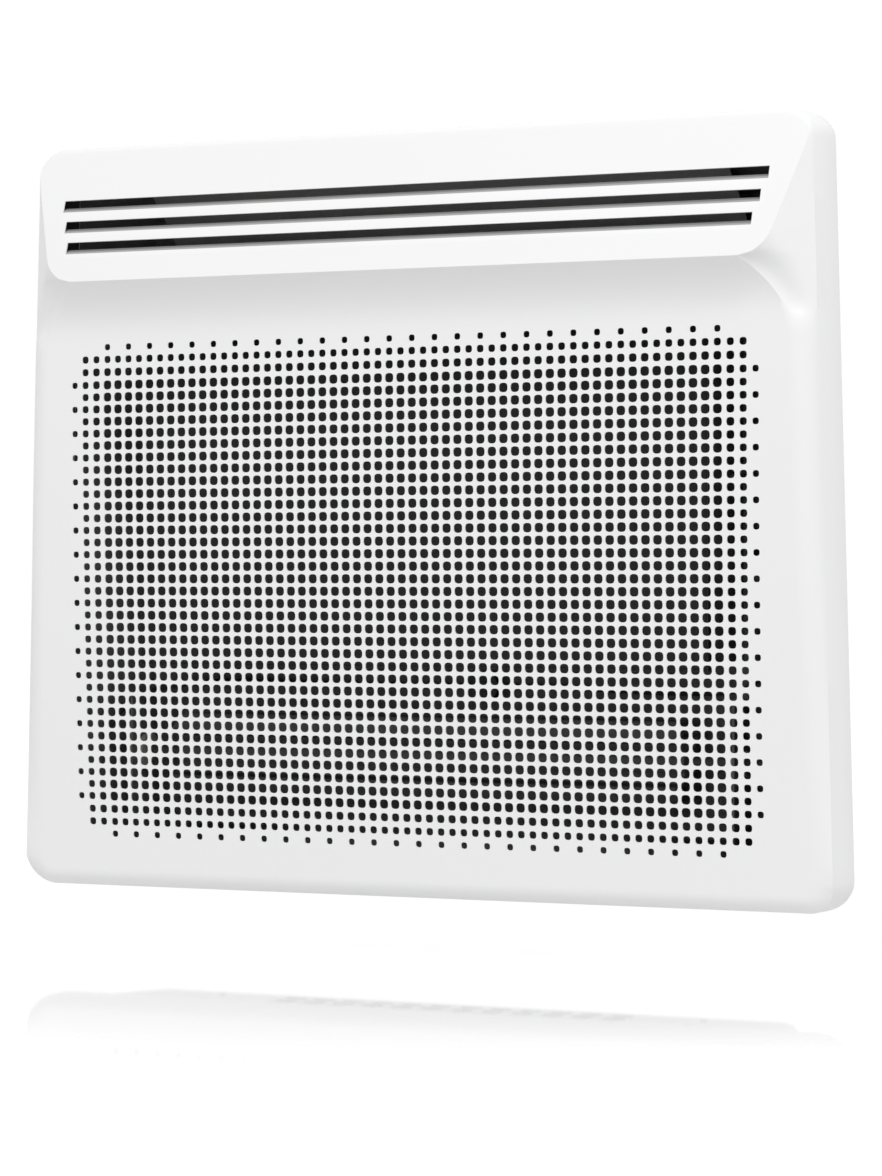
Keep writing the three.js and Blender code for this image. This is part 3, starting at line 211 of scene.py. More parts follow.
# ---------------------------------------------------------------- front panel
# One sheet of steel, punched flat and then pressed: a sloping lip over a bowed
# perforated field, bent sides and a rim turned in at the rear. White powder coat, with painted shade in grey
# on the sills' folds and on the sheet's inside.
panel_low, panel_high = (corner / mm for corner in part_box("front_panel"))
panel_bottom, panel_top = panel_low.z, panel_high.z
rim_y = panel_high.y
panel_bottom_width = 2 * panel_high.x
panel_top_width = 466.8
panel_sheet = 0.7
flange_draft = 4.2
bend_width = 12.6
rim_return = 16
edge_heights = [-140, 83]
edge_depths = [-89.6, -91.3]
least_step = 0.5
top_corner = 14.5
bottom_corner = 16
top_bend = 3
bottom_bend = 9

field_middle = -40
field_stand_off = 98
field_lean = 0.0319
field_curve = 1.364e-4

lip_edge = 130.5
lip_edge_y = panel_low.y
lip_top_y = -88.6
lip_lean = (lip_top_y - lip_edge_y) / (panel_top - lip_edge)
lip_edge_half_width = 210
lip_side_spread = 0.304
lip_corner = 13
cove_height = 28.5
sweep_height = 34
sweep_ease = 1.8
sweep_end = 98
sweep_blend = 8
band_start_slope = 0.8
least_band = 0.5
chamfer_spread = math.radians(2)
least_chamfer = 1.2
slot_tops = [176.9, 164.9, 152.9]
slot_half_lengths = [209, 205.8, 202.6]
slot_height = 6.6
slot_line_top = 206

hole_pitch = 6.7
hole_side = 4.99
hole_shrink = [0.70, 0.80, 0.89, 1.0]
holes_each_side = 30
holes_each_way = 20
edge_gaps = [1.06, 1.045, 1.015]
outlier_margin = 3
round_share = 0.805


def mix(start, end, share):
    return start + (end - start) * share


def rim_half_width(z):
    share = (z - panel_bottom) / (panel_top - panel_bottom)
    return mix(panel_bottom_width, panel_top_width, share) / 2


def round_inset(radius, depth):
    reach = min(max(depth, 0), radius)
    return radius - math.sqrt(radius * radius - reach * reach)


def field_y(z):
    rise = z - field_middle
    return -field_stand_off - field_lean * rise + field_curve * rise * rise


def front_y(z):
    """The front surface at a height: the lip, the hollow under it, and the bowed field."""
    if z >= lip_edge:
        return mix(lip_edge_y, lip_top_y, (z - lip_edge) / (panel_top - lip_edge))
    hollow = field_y(lip_edge) - lip_edge_y
    cove_radius = (hollow * hollow + cove_height * cove_height) / (2 * hollow)
    return field_y(z) - round_inset(cove_radius, z - lip_edge + cove_height)


def edge_y(z):
    """The crisp line where the side bend ends and the side flange begins."""
    return max(float(np.interp(z, edge_heights, edge_depths)), front_y(z) + least_step)


def lip_share(z):
    """How much of the lip's straight side chamfer is left below the lip's edge, from 1 to 0."""
    below = max(lip_edge - z, 0) / sweep_height
    return (1 - min(below, 1)) ** sweep_ease


def seam_half_width(z):
    """Half the width of the flat front: below the lip to the side bend, above to the crease."""
    edge = rim_half_width(z) - flange_draft
    rounding = round_inset(lip_corner, lip_edge + lip_corner - z)
    crease = lip_edge_half_width + lip_side_spread * (z - lip_edge) - rounding
    if z < lip_edge:
        return mix(edge - bend_width, lip_edge_half_width - lip_corner, lip_share(z))
    return min(crease, edge - least_chamfer)


def hole_places(count):
    gaps = [1.0] * (count - len(edge_gaps)) + edge_gaps
    steps = hole_pitch * np.cumsum(gaps)
    return np.concatenate([-steps[::-1], [0], steps])


def cell_borders(places):
    middles = (places[1:] + places[:-1]) / 2
    return np.concatenate([[places[0] - hole_pitch / 2], middles, [places[-1] + hole_pitch / 2]])


hole_x = hole_places(holes_each_side)
hole_z = hole_places(holes_each_way) + field_middle
field_x = cell_borders(hole_x)
field_z = cell_borders(hole_z)
field_edge = field_x[-1]

# The blank's lines. Outside the field, side_steps columns lead out to the seam.
side_steps = 7
corner_steps = 5
cove_steps = 10
side_pitch = 3
side_lines = field_edge + side_pitch * np.arange(1, side_steps + 1)
inner_x = side_lines[side_steps - corner_steps - 1]
inner_share = 0.35
near = 0.01
columns = np.concatenate([-side_lines[::-1], field_x, side_lines])
lower_centre = panel_bottom + bottom_corner
upper_centre = panel_top - top_corner
seam_bottom = panel_bottom + bottom_bend
seam_top = panel_top - top_bend
turn_steps = np.radians([30, 45, 60, 75, 90])
lower_rows = np.linspace(seam_bottom, lower_centre, corner_steps + 1)
upper_rows = np.linspace(upper_centre, seam_top, corner_steps + 1)
cove_rows = np.linspace(lip_edge - cove_height, lip_edge, cove_steps)
arc_rows = lip_edge + lip_corner * (1 - np.cos(turn_steps))
slot_rows = [top - drop for top in reversed(slot_tops) for drop in (slot_height, 0)]
rows = np.concatenate([lower_rows, field_z, cove_rows, arc_rows, slot_rows, upper_rows])
first_hole_column = side_steps
first_hole_row = len(lower_rows)


def slot_line(z):
    """Where the blank's field edge comes to lie at a height: it passes the slots' ends."""
    heights = [field_z[-1], lip_edge]
    widths = [field_edge, lip_edge_half_width - 2 * lip_corner]
    for top, half in zip(reversed(slot_tops), reversed(slot_half_lengths)):
        heights += [top - slot_height, top]
        widths += [half, half]
    return float(np.interp(z, heights + [seam_top], widths + [slot_line_top]))


def inner_line(z):
    """Where the last straight column comes to lie, between the slots' ends and the seam."""
    return mix(slot_line(z), seam_half_width(z), inner_share)


def corner_point(turn, centre_z, turned, inset_x, inset_z, radius):
    """A point on a corner's rounding, at an angle from level, drawn in from the crisp line."""
    centre_x = rim_half_width(centre_z) - flange_draft - radius
    across = (radius - inset_x) * math.cos(turn)
    up = (radius - inset_z) * math.sin(turn)
    return np.array([centre_x + across, centre_z + turned * up])


corners = {
    "lower": dict(centre_z=lower_centre, turned=-1, radius=bottom_corner,
                  inset_x=bend_width, inset_z=bottom_bend),
    "upper": dict(centre_z=upper_centre, turned=1, radius=top_corner,
                  inset_x=least_chamfer, inset_z=top_bend),
}


def corner_climb(z, corner):
    """How far a height lies from a corner's start, 0, to its tip, 1."""
    tip_z = seam_top if corner["turned"] > 0 else seam_bottom
    return (z - corner["centre_z"]) / (tip_z - corner["centre_z"])


def corner_patch(x, z, corner):
    """A point of the blank's corner, where straight lines are eased into the rounding."""
    a = (abs(x) - inner_x) / (side_lines[-1] - inner_x)
    b = corner_climb(z, corner)
    start = np.array([inner_line(corner["centre_z"]), corner["centre_z"]])
    side, tip, middle = (corner_point(math.radians(turn), **corner) for turn in (0, 90, 45))
    along_side = corner_point(math.radians(45) * b, **corner)
    along_tip = corner_point(math.radians(90 - 45 * a), **corner)
    return (mix(mix(start, tip, b), along_side, a) + mix(mix(start, side, a), along_tip, b)
            - mix(mix(start, side, a), mix(tip, middle, a), b))


def press(x, z):
    """Where a point of the flat blank lies on the pressed front, before the side bends."""
    hand = math.copysign(1, x)
    corner = None
    if z < lower_centre:
        corner = corners["lower"]
    elif z > upper_centre:
        corner = corners["upper"]
    if corner and abs(x) > inner_x:
        placed_x, placed_z = corner_patch(x, z, corner)
    elif abs(x) > inner_x:
        share = (abs(x) - inner_x) / (side_lines[-1] - inner_x)
        placed_x, placed_z = mix(inner_line(z), seam_half_width(z), share), z
    elif abs(x) > field_edge:
        share = (abs(x) - field_edge) / (inner_x - field_edge)
        end = inner_line(z)
        if corner:
            tip = corner_point(math.radians(90), **corner)
            end = mix(inner_line(corner["centre_z"]), tip[0], corner_climb(z, corner))
        placed_x, placed_z = mix(slot_line(z), end, share), z
    else:
        placed_x, placed_z = abs(x) * slot_line(z) / field_edge, z
    return Vector((hand * placed_x, front_y(placed_z), placed_z))


form = bmesh.new()
bmesh.ops.create_grid(form, x_segments=len(columns) - 1, y_segments=len(rows) - 1, size=0.5)
for vert in form.verts:
    column = round((vert.co.x + 0.5) * (len(columns) - 1))
    line = round((vert.co.y + 0.5) * (len(rows) - 1))
    vert.co = (columns[column], 0, rows[line])

cells = {}
for face in form.faces:
    middle = face.calc_center_median()
    column = int(np.searchsorted(columns, middle.x)) - 1
    line = int(np.searchsorted(rows, middle.z)) - 1
    cells[column, line] = face

# Slots: faces between a slot's rows, within the field's width.
slot_lines = [int(np.argmin(abs(rows - (top - slot_height)))) for top in slot_tops]
slot_faces = [cells[column, line] for line in slot_lines
              for column in range(first_hole_column, first_hole_column + len(hole_x))]
bmesh.ops.delete(form, geom=slot_faces, context="FACES")


def hole_ring(column, line):
    """How many holes lie between this one and the field's edge; -1 where there is none."""
    ring = min(column, line, len(hole_x) - 1 - column, len(hole_z) - 1 - line)
    if ring > 0:
        return ring
    along, last = (column, len(hole_x) - 1) if line in (0, len(hole_z) - 1) else (line, len(hole_z) - 1)
    return 0 if along % 2 == 1 and outlier_margin <= along <= last - outlier_margin else -1


punched = {}
for column in range(len(hole_x)):
    for line in range(len(hole_z)):
        ring = hole_ring(column, line)
        if ring >= 0:
            face = cells[column + first_hole_column, line + first_hole_row]
            shrink = hole_shrink[min(ring, len(hole_shrink) - 1)]
            punched[face] = (hole_x[column], hole_z[line], hole_side / 2 * shrink)
bmesh.ops.inset_individual(form, faces=list(punched), thickness=0.5)
hole_corners = {}
for face, (x, z, half) in punched.items():
    for vert in face.verts:
        vert.co.x = x + math.copysign(half, vert.co.x - x)
        vert.co.z = z + math.copysign(half, vert.co.z - z)
        hole_corners[round(vert.co.x, 3), round(vert.co.z, 3)] = (x, z)
hole_edges = list({edge for face in punched for edge in face.edges})
bmesh.ops.delete(form, geom=list(punched), context="FACES_ONLY")
bmesh.ops.subdivide_edges(form, edges=hole_edges, cuts=2)
for vert in form.verts:
    corner_of = hole_corners.get((round(vert.co.x, 3), round(vert.co.z, 3)))
    if corner_of:
        vert.co.x = mix(corner_of[0], vert.co.x, round_share)
        vert.co.z = mix(corner_of[1], vert.co.z, round_share)


def edges_where(form, test):
    """The open edges whose two ends both pass a test."""
    return [edge for edge in form.edges if edge.is_boundary and all(test(vert.co) for vert in edge.verts)]


outline = edges_where(form, lambda place: abs(place.x) > columns[-1] - near
                      or not rows[0] + near < place.z < rows[-1] - near)
sills = [edges_where(form, lambda place, low=rows[line]: abs(place.z - low) < near) for line in slot_lines]
for vert in form.verts:
    vert.co = press(vert.co.x, vert.co.z)


def draw_out(form, edges):
    """Extrudes open edges and gives the new points, the new outer edges and the new faces."""
    drawn = bmesh.ops.extrude_edge_only(form, edges=edges)["geom"]
    points = {item for item in drawn if isinstance(item, bmesh.types.BMVert)}
    outer = [item for item in drawn
             if isinstance(item, bmesh.types.BMEdge) and all(vert in points for vert in item.verts)]
    return points, outer, [item for item in drawn if isinstance(item, bmesh.types.BMFace)]


# Side bends and flange: the outline is drawn outwards in loops, then each is placed.
bend_loops = 8
flange_loops = [(0.5, 0), (0.92, 0), (1, 0.6), (1, 1.8), (1, rim_return)]
level_of = {vert: 0 for edge in outline for vert in edge.verts}
ring = outline
for level in range(1, bend_loops + len(flange_loops) + 1):
    fresh, ring, _ = draw_out(form, ring)
    for vert in fresh:
        level_of[vert] = level

# Sills: a narrow strip is turned inwards along each slot's lower edge, in two folds.
# Both folds are painted grey as shade under the slot's top edge, the inner fold darker.
sill_folds = [(1.0, 1.1), (2.5, 1.3)]
for sill in sills:
    for fold, (back, up) in enumerate(sill_folds, start=1):
        fresh, sill, faces = draw_out(form, sill)
        for face in faces:
            face.material_index = fold
        bmesh.ops.translate(form, verts=list(fresh), vec=(0, back, up))


def bend_angles(kind, z, width):
    """Middle and half of the turn across the bend, in radians, at the side, top or bottom."""
    if kind == "top":
        start = math.atan(lip_lean)
        return mix(start, math.pi / 2, 0.5), (math.pi / 2 - start) / 2
    if kind == "bottom":
        start = math.atan(field_lean - 2 * field_curve * (seam_bottom - field_middle))
        return mix(start, math.pi / 2, 0.5), (math.pi / 2 - start) / 2
    middle = math.atan2(edge_y(z) - front_y(z), width)
    return middle, mix(middle, chamfer_spread, lip_share(z))


# The band's ridge: how far in from the crisp line it runs at each height.
ridge_heights = [98, 101, 112, 126, 134, 141]
ridge_offsets = [0, 0, 1.4, 5.6, 12, 17.6]


def swept_y(x, z, seam_x, edge_x):
    """The lip's side chamfer and the band that sweeps from the side bend up to the lip's corner."""
    lip_plane = lip_edge_y + lip_lean * (z - lip_edge)
    crease_x = lip_edge_half_width + lip_side_spread * (z - lip_edge)
    slope = (edge_y(z) - lip_plane) / (edge_x - crease_x)
    ridge_x = edge_x - float(np.interp(z, ridge_heights, ridge_offsets))
    band = ridge_x - seam_x
    if x >= ridge_x or band < least_band:
        return edge_y(z) - slope * (edge_x - x)
    share = (x - seam_x) / band
    start, end = front_y(z), edge_y(z) - slope * (edge_x - ridge_x)
    rise = share * share * (3 - 2 * share)
    eased_in = share * (1 - share) ** 2 * band * band_start_slope
    eased_out = share * share * (1 - share) * band * slope
    return start + (end - start) * rise + eased_in - eased_out


def station(x, z):
    """The crisp line's point beside a seam point, its turn and the bend's angles there."""
    half = abs(x)
    if lower_centre <= z <= upper_centre:
        edge = np.array([rim_half_width(z) - flange_draft, z])
        return edge, 0.0, bend_angles("side", z, edge[0] - half)
    corner, kind = (corners["lower"], "bottom") if z < lower_centre else (corners["upper"], "top")
    centre = corner_point(0, **{**corner, "inset_x": corner["radius"]})
    if half <= centre[0] + near:
        edge = np.array([half, panel_bottom if kind == "bottom" else panel_top])
        return edge, math.pi / 2, bend_angles(kind, z, 0)
    across = (half - centre[0]) / (corner["radius"] - corner["inset_x"])
    up = abs(z - centre[1]) / (corner["radius"] - corner["inset_z"])
    turn = math.atan2(up, across)
    edge = corner_point(turn, **{**corner, "inset_x": 0, "inset_z": 0})
    side_angles = bend_angles("side", corner["centre_z"], corner["inset_x"])
    tip_angles = bend_angles(kind, z, 0)
    share = turn / (math.pi / 2)
    return edge, turn, tuple(mix(a, b, share) for a, b in zip(side_angles, tip_angles))


for vert, level in level_of.items():
    x, y, z = vert.co
    edge, turn, (middle, spread) = station(x, z)
    seam = np.array([abs(x), z])
    width = float(np.linalg.norm(edge - seam))
    radius = width / (math.sin(middle + spread) - math.sin(middle - spread))
    share = min(level / bend_loops, 1)
    angle = middle - spread + 2 * spread * share
    out = radius * (math.sin(angle) - math.sin(middle - spread)) / width
    back = radius * (math.cos(middle - spread) - math.cos(angle))
    place = mix(seam, edge, out)
    depth = y + back
    if sweep_end < z < lip_edge + lip_corner:
        swept = swept_y(place[0], z, seam[0], edge[0])
        depth = mix(depth, swept, min((z - sweep_end) / sweep_blend, 1))
    if level > bend_loops:
        along, inward = flange_loops[level - bend_loops - 1]
        turned = 1 if z > field_middle else -1
        normal = np.array([math.cos(turn), turned * math.sin(turn)])
        draft = np.array([flange_draft * math.cos(turn), 0])
        place = edge + along * draft - inward * normal
        depth = mix(depth, rim_y, along)
        if turned < 0:
            place[1] = max(place[1], panel_bottom)
    vert.co = (math.copysign(place[0], x), depth, place[1])


def sharpen(form, limit=30, largest=math.inf):
    """Smooth faces, but for the large flat ones and the edges that turn more than the limit."""
    for face in form.faces:
        face.smooth = face.calc_area() < largest
    for edge in form.edges:
        edge.smooth = edge.calc_face_angle(0) < math.radians(limit)


def dress(name, form, body, materials, replaced):
    """Turns a finished form in millimetres into a piece of the heater."""
    bmesh.ops.scale(form, vec=(mm, mm, mm), verts=form.verts)
    mesh = bpy.data.meshes.new(name)
    form.to_mesh(mesh)
    form.free()
    for material in materials:
        mesh.materials.append(material)
    piece = bpy.data.objects.new(name, mesh)
    bpy.context.scene.collection.objects.link(piece)
    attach(piece, body)
    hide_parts(*replaced)


bmesh.ops.recalc_face_normals(form, faces=form.faces)
# The faces that the thickening adds take a dark grey: painted shade for the inside of the heater.
inside_shade_index = 3
thickened = bmesh.ops.solidify(form, geom=form.faces[:], thickness=panel_sheet)["geom"]
for item in thickened:
    if isinstance(item, bmesh.types.BMFace):
        item.material_index = inside_shade_index
sharpen(form)
white_coat = surface("white_powder_coat", (0.745, 0.745, 0.75), 0.42, mottle=0.01)
# Painted shade for the sills' two folds: grey for the outer fold, darker grey for the inner one.
outer_fold_shade = surface("painted_shade_outer_fold", (0.31, 0.31, 0.31), 0.5, mottle=0.03)
inner_fold_shade = surface("painted_shade_inner_fold", (0.21, 0.21, 0.21), 0.5, mottle=0.05)
# Dark grey for the sheet's inside: painted shade, not a primer.
painted_shade_inside = surface("painted_shade_inside", (0.12, 0.12, 0.12), 0.6, mottle=0.15)
dress("front_sheet", form, "heater", [white_coat, outer_fold_shade, inner_fold_shade, painted_shade_inside],
      ["front_panel"])


# ---------------------------------------------------------------- rear casing
# A tapered tray of folded steel behind the panel, punched with air inlets, vents and the
# slots for the bracket. Fine-textured white powder coat outside; the inside faces are dark grey, painted
# shade of the closed tray.
casing_edge_round = 0.35
flat_face = 12
casing_inside_from = Vector((0, -90, 0))
merge_gap = 0.002
flat_turn = math.radians(0.5)


def copy_of(node):
    """A clean copy of a part's solid, in millimetres, with its flat faces whole."""
    copied = bmesh.new()
    copied.from_mesh(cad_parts[node].data)
    bmesh.ops.scale(copied, vec=(1 / mm, 1 / mm, 1 / mm), verts=copied.verts)
    bmesh.ops.remove_doubles(copied, verts=copied.verts, dist=merge_gap)
    bmesh.ops.dissolve_limit(copied, angle_limit=flat_turn, verts=copied.verts, edges=copied.edges)
    bmesh.ops.recalc_face_normals(copied, faces=copied.faces)
    return copied


def round_edges(form, width, segments=2, limit=30):
    """Every edge that turns more than the limit gets a small rounding."""
    edges = [edge for edge in form.edges if edge.calc_face_angle(0) > math.radians(limit)]
    bmesh.ops.bevel(form, geom=edges, offset=width, offset_type="OFFSET", segments=segments,
                    profile=0.5, affect="EDGES", clamp_overlap=True, material=-1)


form = copy_of("rear_casing")
round_edges(form, casing_edge_round, segments=1)
sharpen(form, 40, flat_face)
# Faces that look into the tray take the dark grey: painted shade.
for face in form.faces:
    outwards = face.calc_center_median() - casing_inside_from
    face.material_index = 0 if face.normal.dot(outwards) > 0 else 1
textured_coat = surface("textured_white_coat", (0.72, 0.72, 0.725), 0.5, grain=0.0009, depth=0.00006,
                        mottle=0.02)
painted_shade_casing_inside = surface("painted_shade_casing_inside", (0.18, 0.177, 0.174), 0.7, mottle=0.15)
dress("rear_tray", form, "heater", [textured_coat, painted_shade_casing_inside], ["rear_casing"])


# ---------------------------------------------------------------- panel screws
# Zinc-plated pan-head screws with a cross recess, driven from behind through the
# casing's flange into the panel's rim.
weld_gap = 0.0005


def spin_round(form, points, centre, axis, steps):
    """Spins a line of points all the way round an axis through a centre."""
    verts = [form.verts.new(point) for point in points]
    edges = [form.edges.new(pair) for pair in zip(verts, verts[1:])]
    bmesh.ops.spin(form, geom=verts + edges, cent=centre, axis=axis, dvec=(0, 0, 0),
                   angle=math.radians(360), steps=steps, use_merge=True, use_duplicate=False)
    bmesh.ops.remove_doubles(form, verts=form.verts, dist=weld_gap)
    bmesh.ops.recalc_face_normals(form, faces=form.faces)


def turned(form, profile, centre, steps=24):
    """Turns a profile of (radius, depth) points about an axis along Y through a centre."""
    x, y, z = centre
    points = [(x + radius, y + depth, z) for radius, depth in profile]
    spin_round(form, points, centre, (0, 1, 0), steps)


screw_steps = 16
screw_radius, head_radius, head_height = 1.8, 3.6, 2.2
recess_radius, recess_depth, recess_waist = 1.9, 1.1, 0.3
recess_reach, recess_middle = 2.0, 0.1
screw_length = 7
head_seat = rim_y + 1.6
screw_profile = [
    (0, -screw_length), (0.9, -screw_length), (screw_radius, 1 - screw_length), (screw_radius, 0),
    (head_radius - 0.2, 0), (head_radius, 0.2), (head_radius, 1.1), (3.3, 1.7), (2.7, 2.1),
    (2.2, head_height),
    (recess_radius, head_height), (recess_radius * 0.85, head_height - recess_depth),
    (0, head_height - recess_depth)]
zinc = surface("zinc_plate", (0.6, 0.61, 0.63), 0.32, metallic=1.0, grain=0.0006, mottle=0.12)


def screw_form(centre):
    made = bmesh.new()
    turned(made, screw_profile, centre, screw_steps)
    axis = Vector(centre)
    for vert in made.verts:
        reach = Vector((vert.co.x - axis.x, 0, vert.co.z - axis.z))
        above_floor = vert.co.y > axis.y + head_height - recess_depth - near
        in_recess = above_floor and recess_middle < reach.length < recess_reach
        turn = math.degrees(math.atan2(reach.z, reach.x)) % 90
        if in_recess and min(turn, 90 - turn) > 1:
            reach *= recess_waist
            vert.co.x, vert.co.z = axis.x + reach.x, axis.z + reach.z
    return made


for number in range(1, 9):
    node = f"panel_screw_{number}"
    low, high = (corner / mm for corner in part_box(node))
    form = screw_form(((low.x + high.x) / 2, head_seat, (low.z + high.z) / 2))
    sharpen(form)
    dress(f"rim_screw_{number}", form, "heater", [zinc], [node])


# ---------------------------------------------------------------- wall bracket
# A pressed steel plate that is screwed to the wall. Its two hooks carry the casing and
# its two joggled tabs hold the turn latches. Light grey powder coat.
bracket_edge_round = 0.3
form = copy_of("wall_bracket")
round_edges(form, bracket_edge_round)
sharpen(form, 40, flat_face)
grey_coat = surface("grey_powder_coat", (0.6, 0.605, 0.61), 0.48, grain=0.0008, depth=0.00004, mottle=0.04)
dress("wall_plate", form, "heater", [grey_coat], ["wall_bracket"])


# ---------------------------------------------------------------- turn latches
# Moulded grey nylon latches: a quarter turn of the arm lays the bar across the casing's
# slot. A steel clip on the neck behind each tab keeps the latch in.
latch_edge_round = 0.45
clip_reach, clip_bore, clip_thickness, clip_edge = 5.5, 2.4, 1.2, 0.2
clip_profile = [
    (clip_bore, 0), (clip_reach - clip_edge, 0), (clip_reach, clip_edge),
    (clip_reach, clip_thickness - clip_edge), (clip_reach - clip_edge, clip_thickness),
    (clip_bore, clip_thickness), (clip_bore, 0)]
grey_nylon = surface("grey_nylon", (0.3, 0.31, 0.32), 0.42, grain=0.0007, depth=0.00003, mottle=0.05)
for side in ("left", "right"):
    form = copy_of(f"latch_{side}")
    round_edges(form, latch_edge_round)
    sharpen(form, 40, flat_face)
    dress(f"turn_latch_{side}", form, f"latch_{side}", [grey_nylon], [f"latch_{side}"])
    low, high = (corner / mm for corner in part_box(f"latch_clip_{side}"))
    form = bmesh.new()
    turned(form, clip_profile, ((low.x + high.x) / 2, low.y, (low.z + high.z) / 2))
    sharpen(form)
    dress(f"spring_clip_{side}", form, f"latch_{side}", [zinc], [f"latch_clip_{side}"])


# ---------------------------------------------------------------- lower spacers
# Tapered plastic studs pegged into the casing's rear wall; their ends rest on the wall
# and keep the heater upright.
stud_length, stud_radius, stud_end_radius = 19.7, 9, 7.5
peg_radius, peg_edge = 3, 0.6
for side in ("left", "right"):
    low, high = (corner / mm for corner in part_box(f"lower_spacer_{side}"))
    wall, seat, peg = high.y, high.y - stud_length, low.y
    stud_profile = [
        (0, peg), (peg_radius - peg_edge, peg), (peg_radius, peg + peg_edge), (peg_radius, seat),
        (stud_radius - 0.4, seat), (stud_radius, seat + 0.5), (stud_radius, seat + 1.8),
        (stud_radius - 0.6, seat + 2.4), (stud_end_radius, wall - 0.9),
        (stud_end_radius - 0.4, wall - 0.25), (stud_end_radius - 1.1, wall), (0, wall)]
    form = bmesh.new()
    turned(form, stud_profile, ((low.x + high.x) / 2, 0, (low.z + high.z) / 2), 32)
    sharpen(form, 50)
    dress(f"wall_stud_{side}", form, "heater", [grey_nylon], [f"lower_spacer_{side}"])


# ---------------------------------------------------------------- cable gland
# A black rubber grommet whose groove grips the edge of the inlet hole in the rear wall.
low, high = (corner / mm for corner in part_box("cable_gland"))
bore, neck, lip, lip_depth = 4, 6.6, 10, 3
inner, outer = low.y, high.y
gland_profile = [
    (bore, inner + 0.5), (bore + 0.5, inner), (lip - 0.8, inner), (lip, inner + 0.8),
    (lip, inner + lip_depth), (neck, inner + lip_depth), (neck, outer - lip_depth), (lip, outer - lip_depth),
    (lip, outer - 1.9), (lip - 0.6, outer - 0.9), (lip - 2, outer - 0.2),
    (bore + 1.6, outer), (bore + 0.4, outer - 0.3), (bore, outer - 1), (bore, inner + 0.5)]
form = bmesh.new()
turned(form, gland_profile, ((low.x + high.x) / 2, 0, (low.z + high.z) / 2), 40)
sharpen(form, 50)
black_rubber = surface("black_rubber", (0.02, 0.02, 0.021), 0.62, grain=0.0008, depth=0.00004, mottle=0.2)
dress("inlet_grommet", form, "heater", [black_rubber], ["cable_gland"])


# ---------------------------------------------------------------- inside
# The sheets, the finned element, the mica plate and their fittings, all blackened against
# the heat, with sleeved leads between them. They show only through the perforations.
blackened = surface("blackened_steel", (0.025, 0.024, 0.024), 0.6, metallic=0.1, grain=0.0006, mottle=0.2)
dulled = surface("dulled_steel", (0.15, 0.147, 0.144), 0.6, metallic=0.1, grain=0.0006, mottle=0.2)
guide_steel = surface("galvanised_steel", (0.38, 0.375, 0.37), 0.55, metallic=0.1, grain=0.0006, mottle=0.15)
black_fins = surface("black_anodised", (0.08, 0.079, 0.078), 0.5, metallic=0.1, grain=0.0005, mottle=0.15)
heated_tube = surface("heated_tube", (0.08, 0.072, 0.068), 0.5, metallic=0.6, grain=0.0005, mottle=0.4)
dull_ceramic = surface("unglazed_ceramic", (0.3, 0.28, 0.25), 0.8, grain=0.001, depth=0.00008, mottle=0.1)
pressed_mica = surface("pressed_mica", (0.022, 0.021, 0.02), 0.75, grain=0.0012, depth=0.00006, mottle=0.35)
black_moulding = surface("black_moulding", (0.02, 0.02, 0.022), 0.45, grain=0.0006, depth=0.00003, mottle=0.1)
dark_sleeve = surface("glass_sleeve", (0.04, 0.039, 0.037), 0.8, grain=0.0009, depth=0.0001, mottle=0.3)
green_board = surface("solder_mask", (0.03, 0.13, 0.06), 0.5, grain=0.002, depth=0.00005, mottle=0.3)
finishes = [
    (blackened, ["infrared_frame"]),
    (dulled, ["heat_shield", "frame_stile_left", "frame_stile_right", "element_bracket_left",
              "element_bracket_right"]),
    (guide_steel, ["air_guide"]),
    (black_fins, ["convection_fins"]),
    (heated_tube, ["heating_tube"]),
    (dull_ceramic, ["ceramic_bush_left", "ceramic_bush_right"]),
    (pressed_mica, ["infrared_plate"]),
    (zinc, [f"frame_screw_{number}" for number in range(1, 5)]),
    (black_moulding, ["thermal_cutout", "tilt_switch", "room_sensor", "terminal_block"]),
    (dark_sleeve, [f"lead_{run}" for run in ("supply", "cutout", "return", "element", "infrared", "sensor")]),
    (grey_nylon, ["control_housing"]),
    (green_board, ["control_board"]),
]
for material, nodes in finishes:
    for node in nodes:
        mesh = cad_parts[node].data
        mesh.materials.clear()
        mesh.materials.append(material)


# ---------------------------------------------------------------- control unit
# A moulded plate in the right side wall with a smoked display window, four press
# buttons with raised marks and a rocker switch for the mains.
control_turn = math.radians(26.22)
control_place = Vector((208.5, -43.35, 100))
to_heater = Matrix.Translation(control_place) @ Matrix.Rotation(control_turn, 4, "Z")
fascia_face = 2.5
fascia_edge_round, window_edge_round = 0.7, 0.2
form = copy_of("control_fascia")
round_edges(form, fascia_edge_round)
sharpen(form, 40, flat_face)
satin_white = surface("satin_white_plastic", (0.78, 0.785, 0.79), 0.36, grain=0.0006, depth=0.00003,
                      mottle=0.02)
dress("control_plate", form, "heater", [satin_white], ["control_fascia"])

form = copy_of("display_window")
round_edges(form, window_edge_round)
sharpen(form, 40, flat_face)
smoked = surface("smoked_window", (0.012, 0.012, 0.014), 0.12, grain=0.001, depth=0.0, mottle=0.1, coat=1.0)
dress("display_glass", form, "heater", [smoked], ["display_window"])


def turned_out(form, profile, height, steps=32):
    """Turns a profile of (radius, distance out of the wall) points about a button's axis."""
    points = [(out, radius, height) for radius, out in profile]
    spin_round(form, points, (0, 0, height), (1, 0, 0), steps)


def bar_mark(form, out, across, height, width, tall):
    """A raised bar of a mark, on a face at a distance out of the wall."""
    place = Matrix.Translation((out, across, height)) @ Matrix.Diagonal((mark_rise, width, tall, 1))
    made = bmesh.ops.create_cube(form, size=1, matrix=place)
    for vert in made["verts"]:
        for face in vert.link_faces:
            face.material_index = 1


def ring_mark(form, out, height, radius, steps=24):
    """A raised ring of a mark."""
    inner, outer = radius - mark_stroke / 2, radius + mark_stroke / 2
    low, high = out - mark_rise / 2, out + mark_rise / 2
    before = set(form.faces)
    turned_out(form, [(inner, low), (outer, low), (outer, high), (inner, high), (inner, low)], height, steps)
    for face in form.faces:
        if face not in before:
            face.material_index = 1


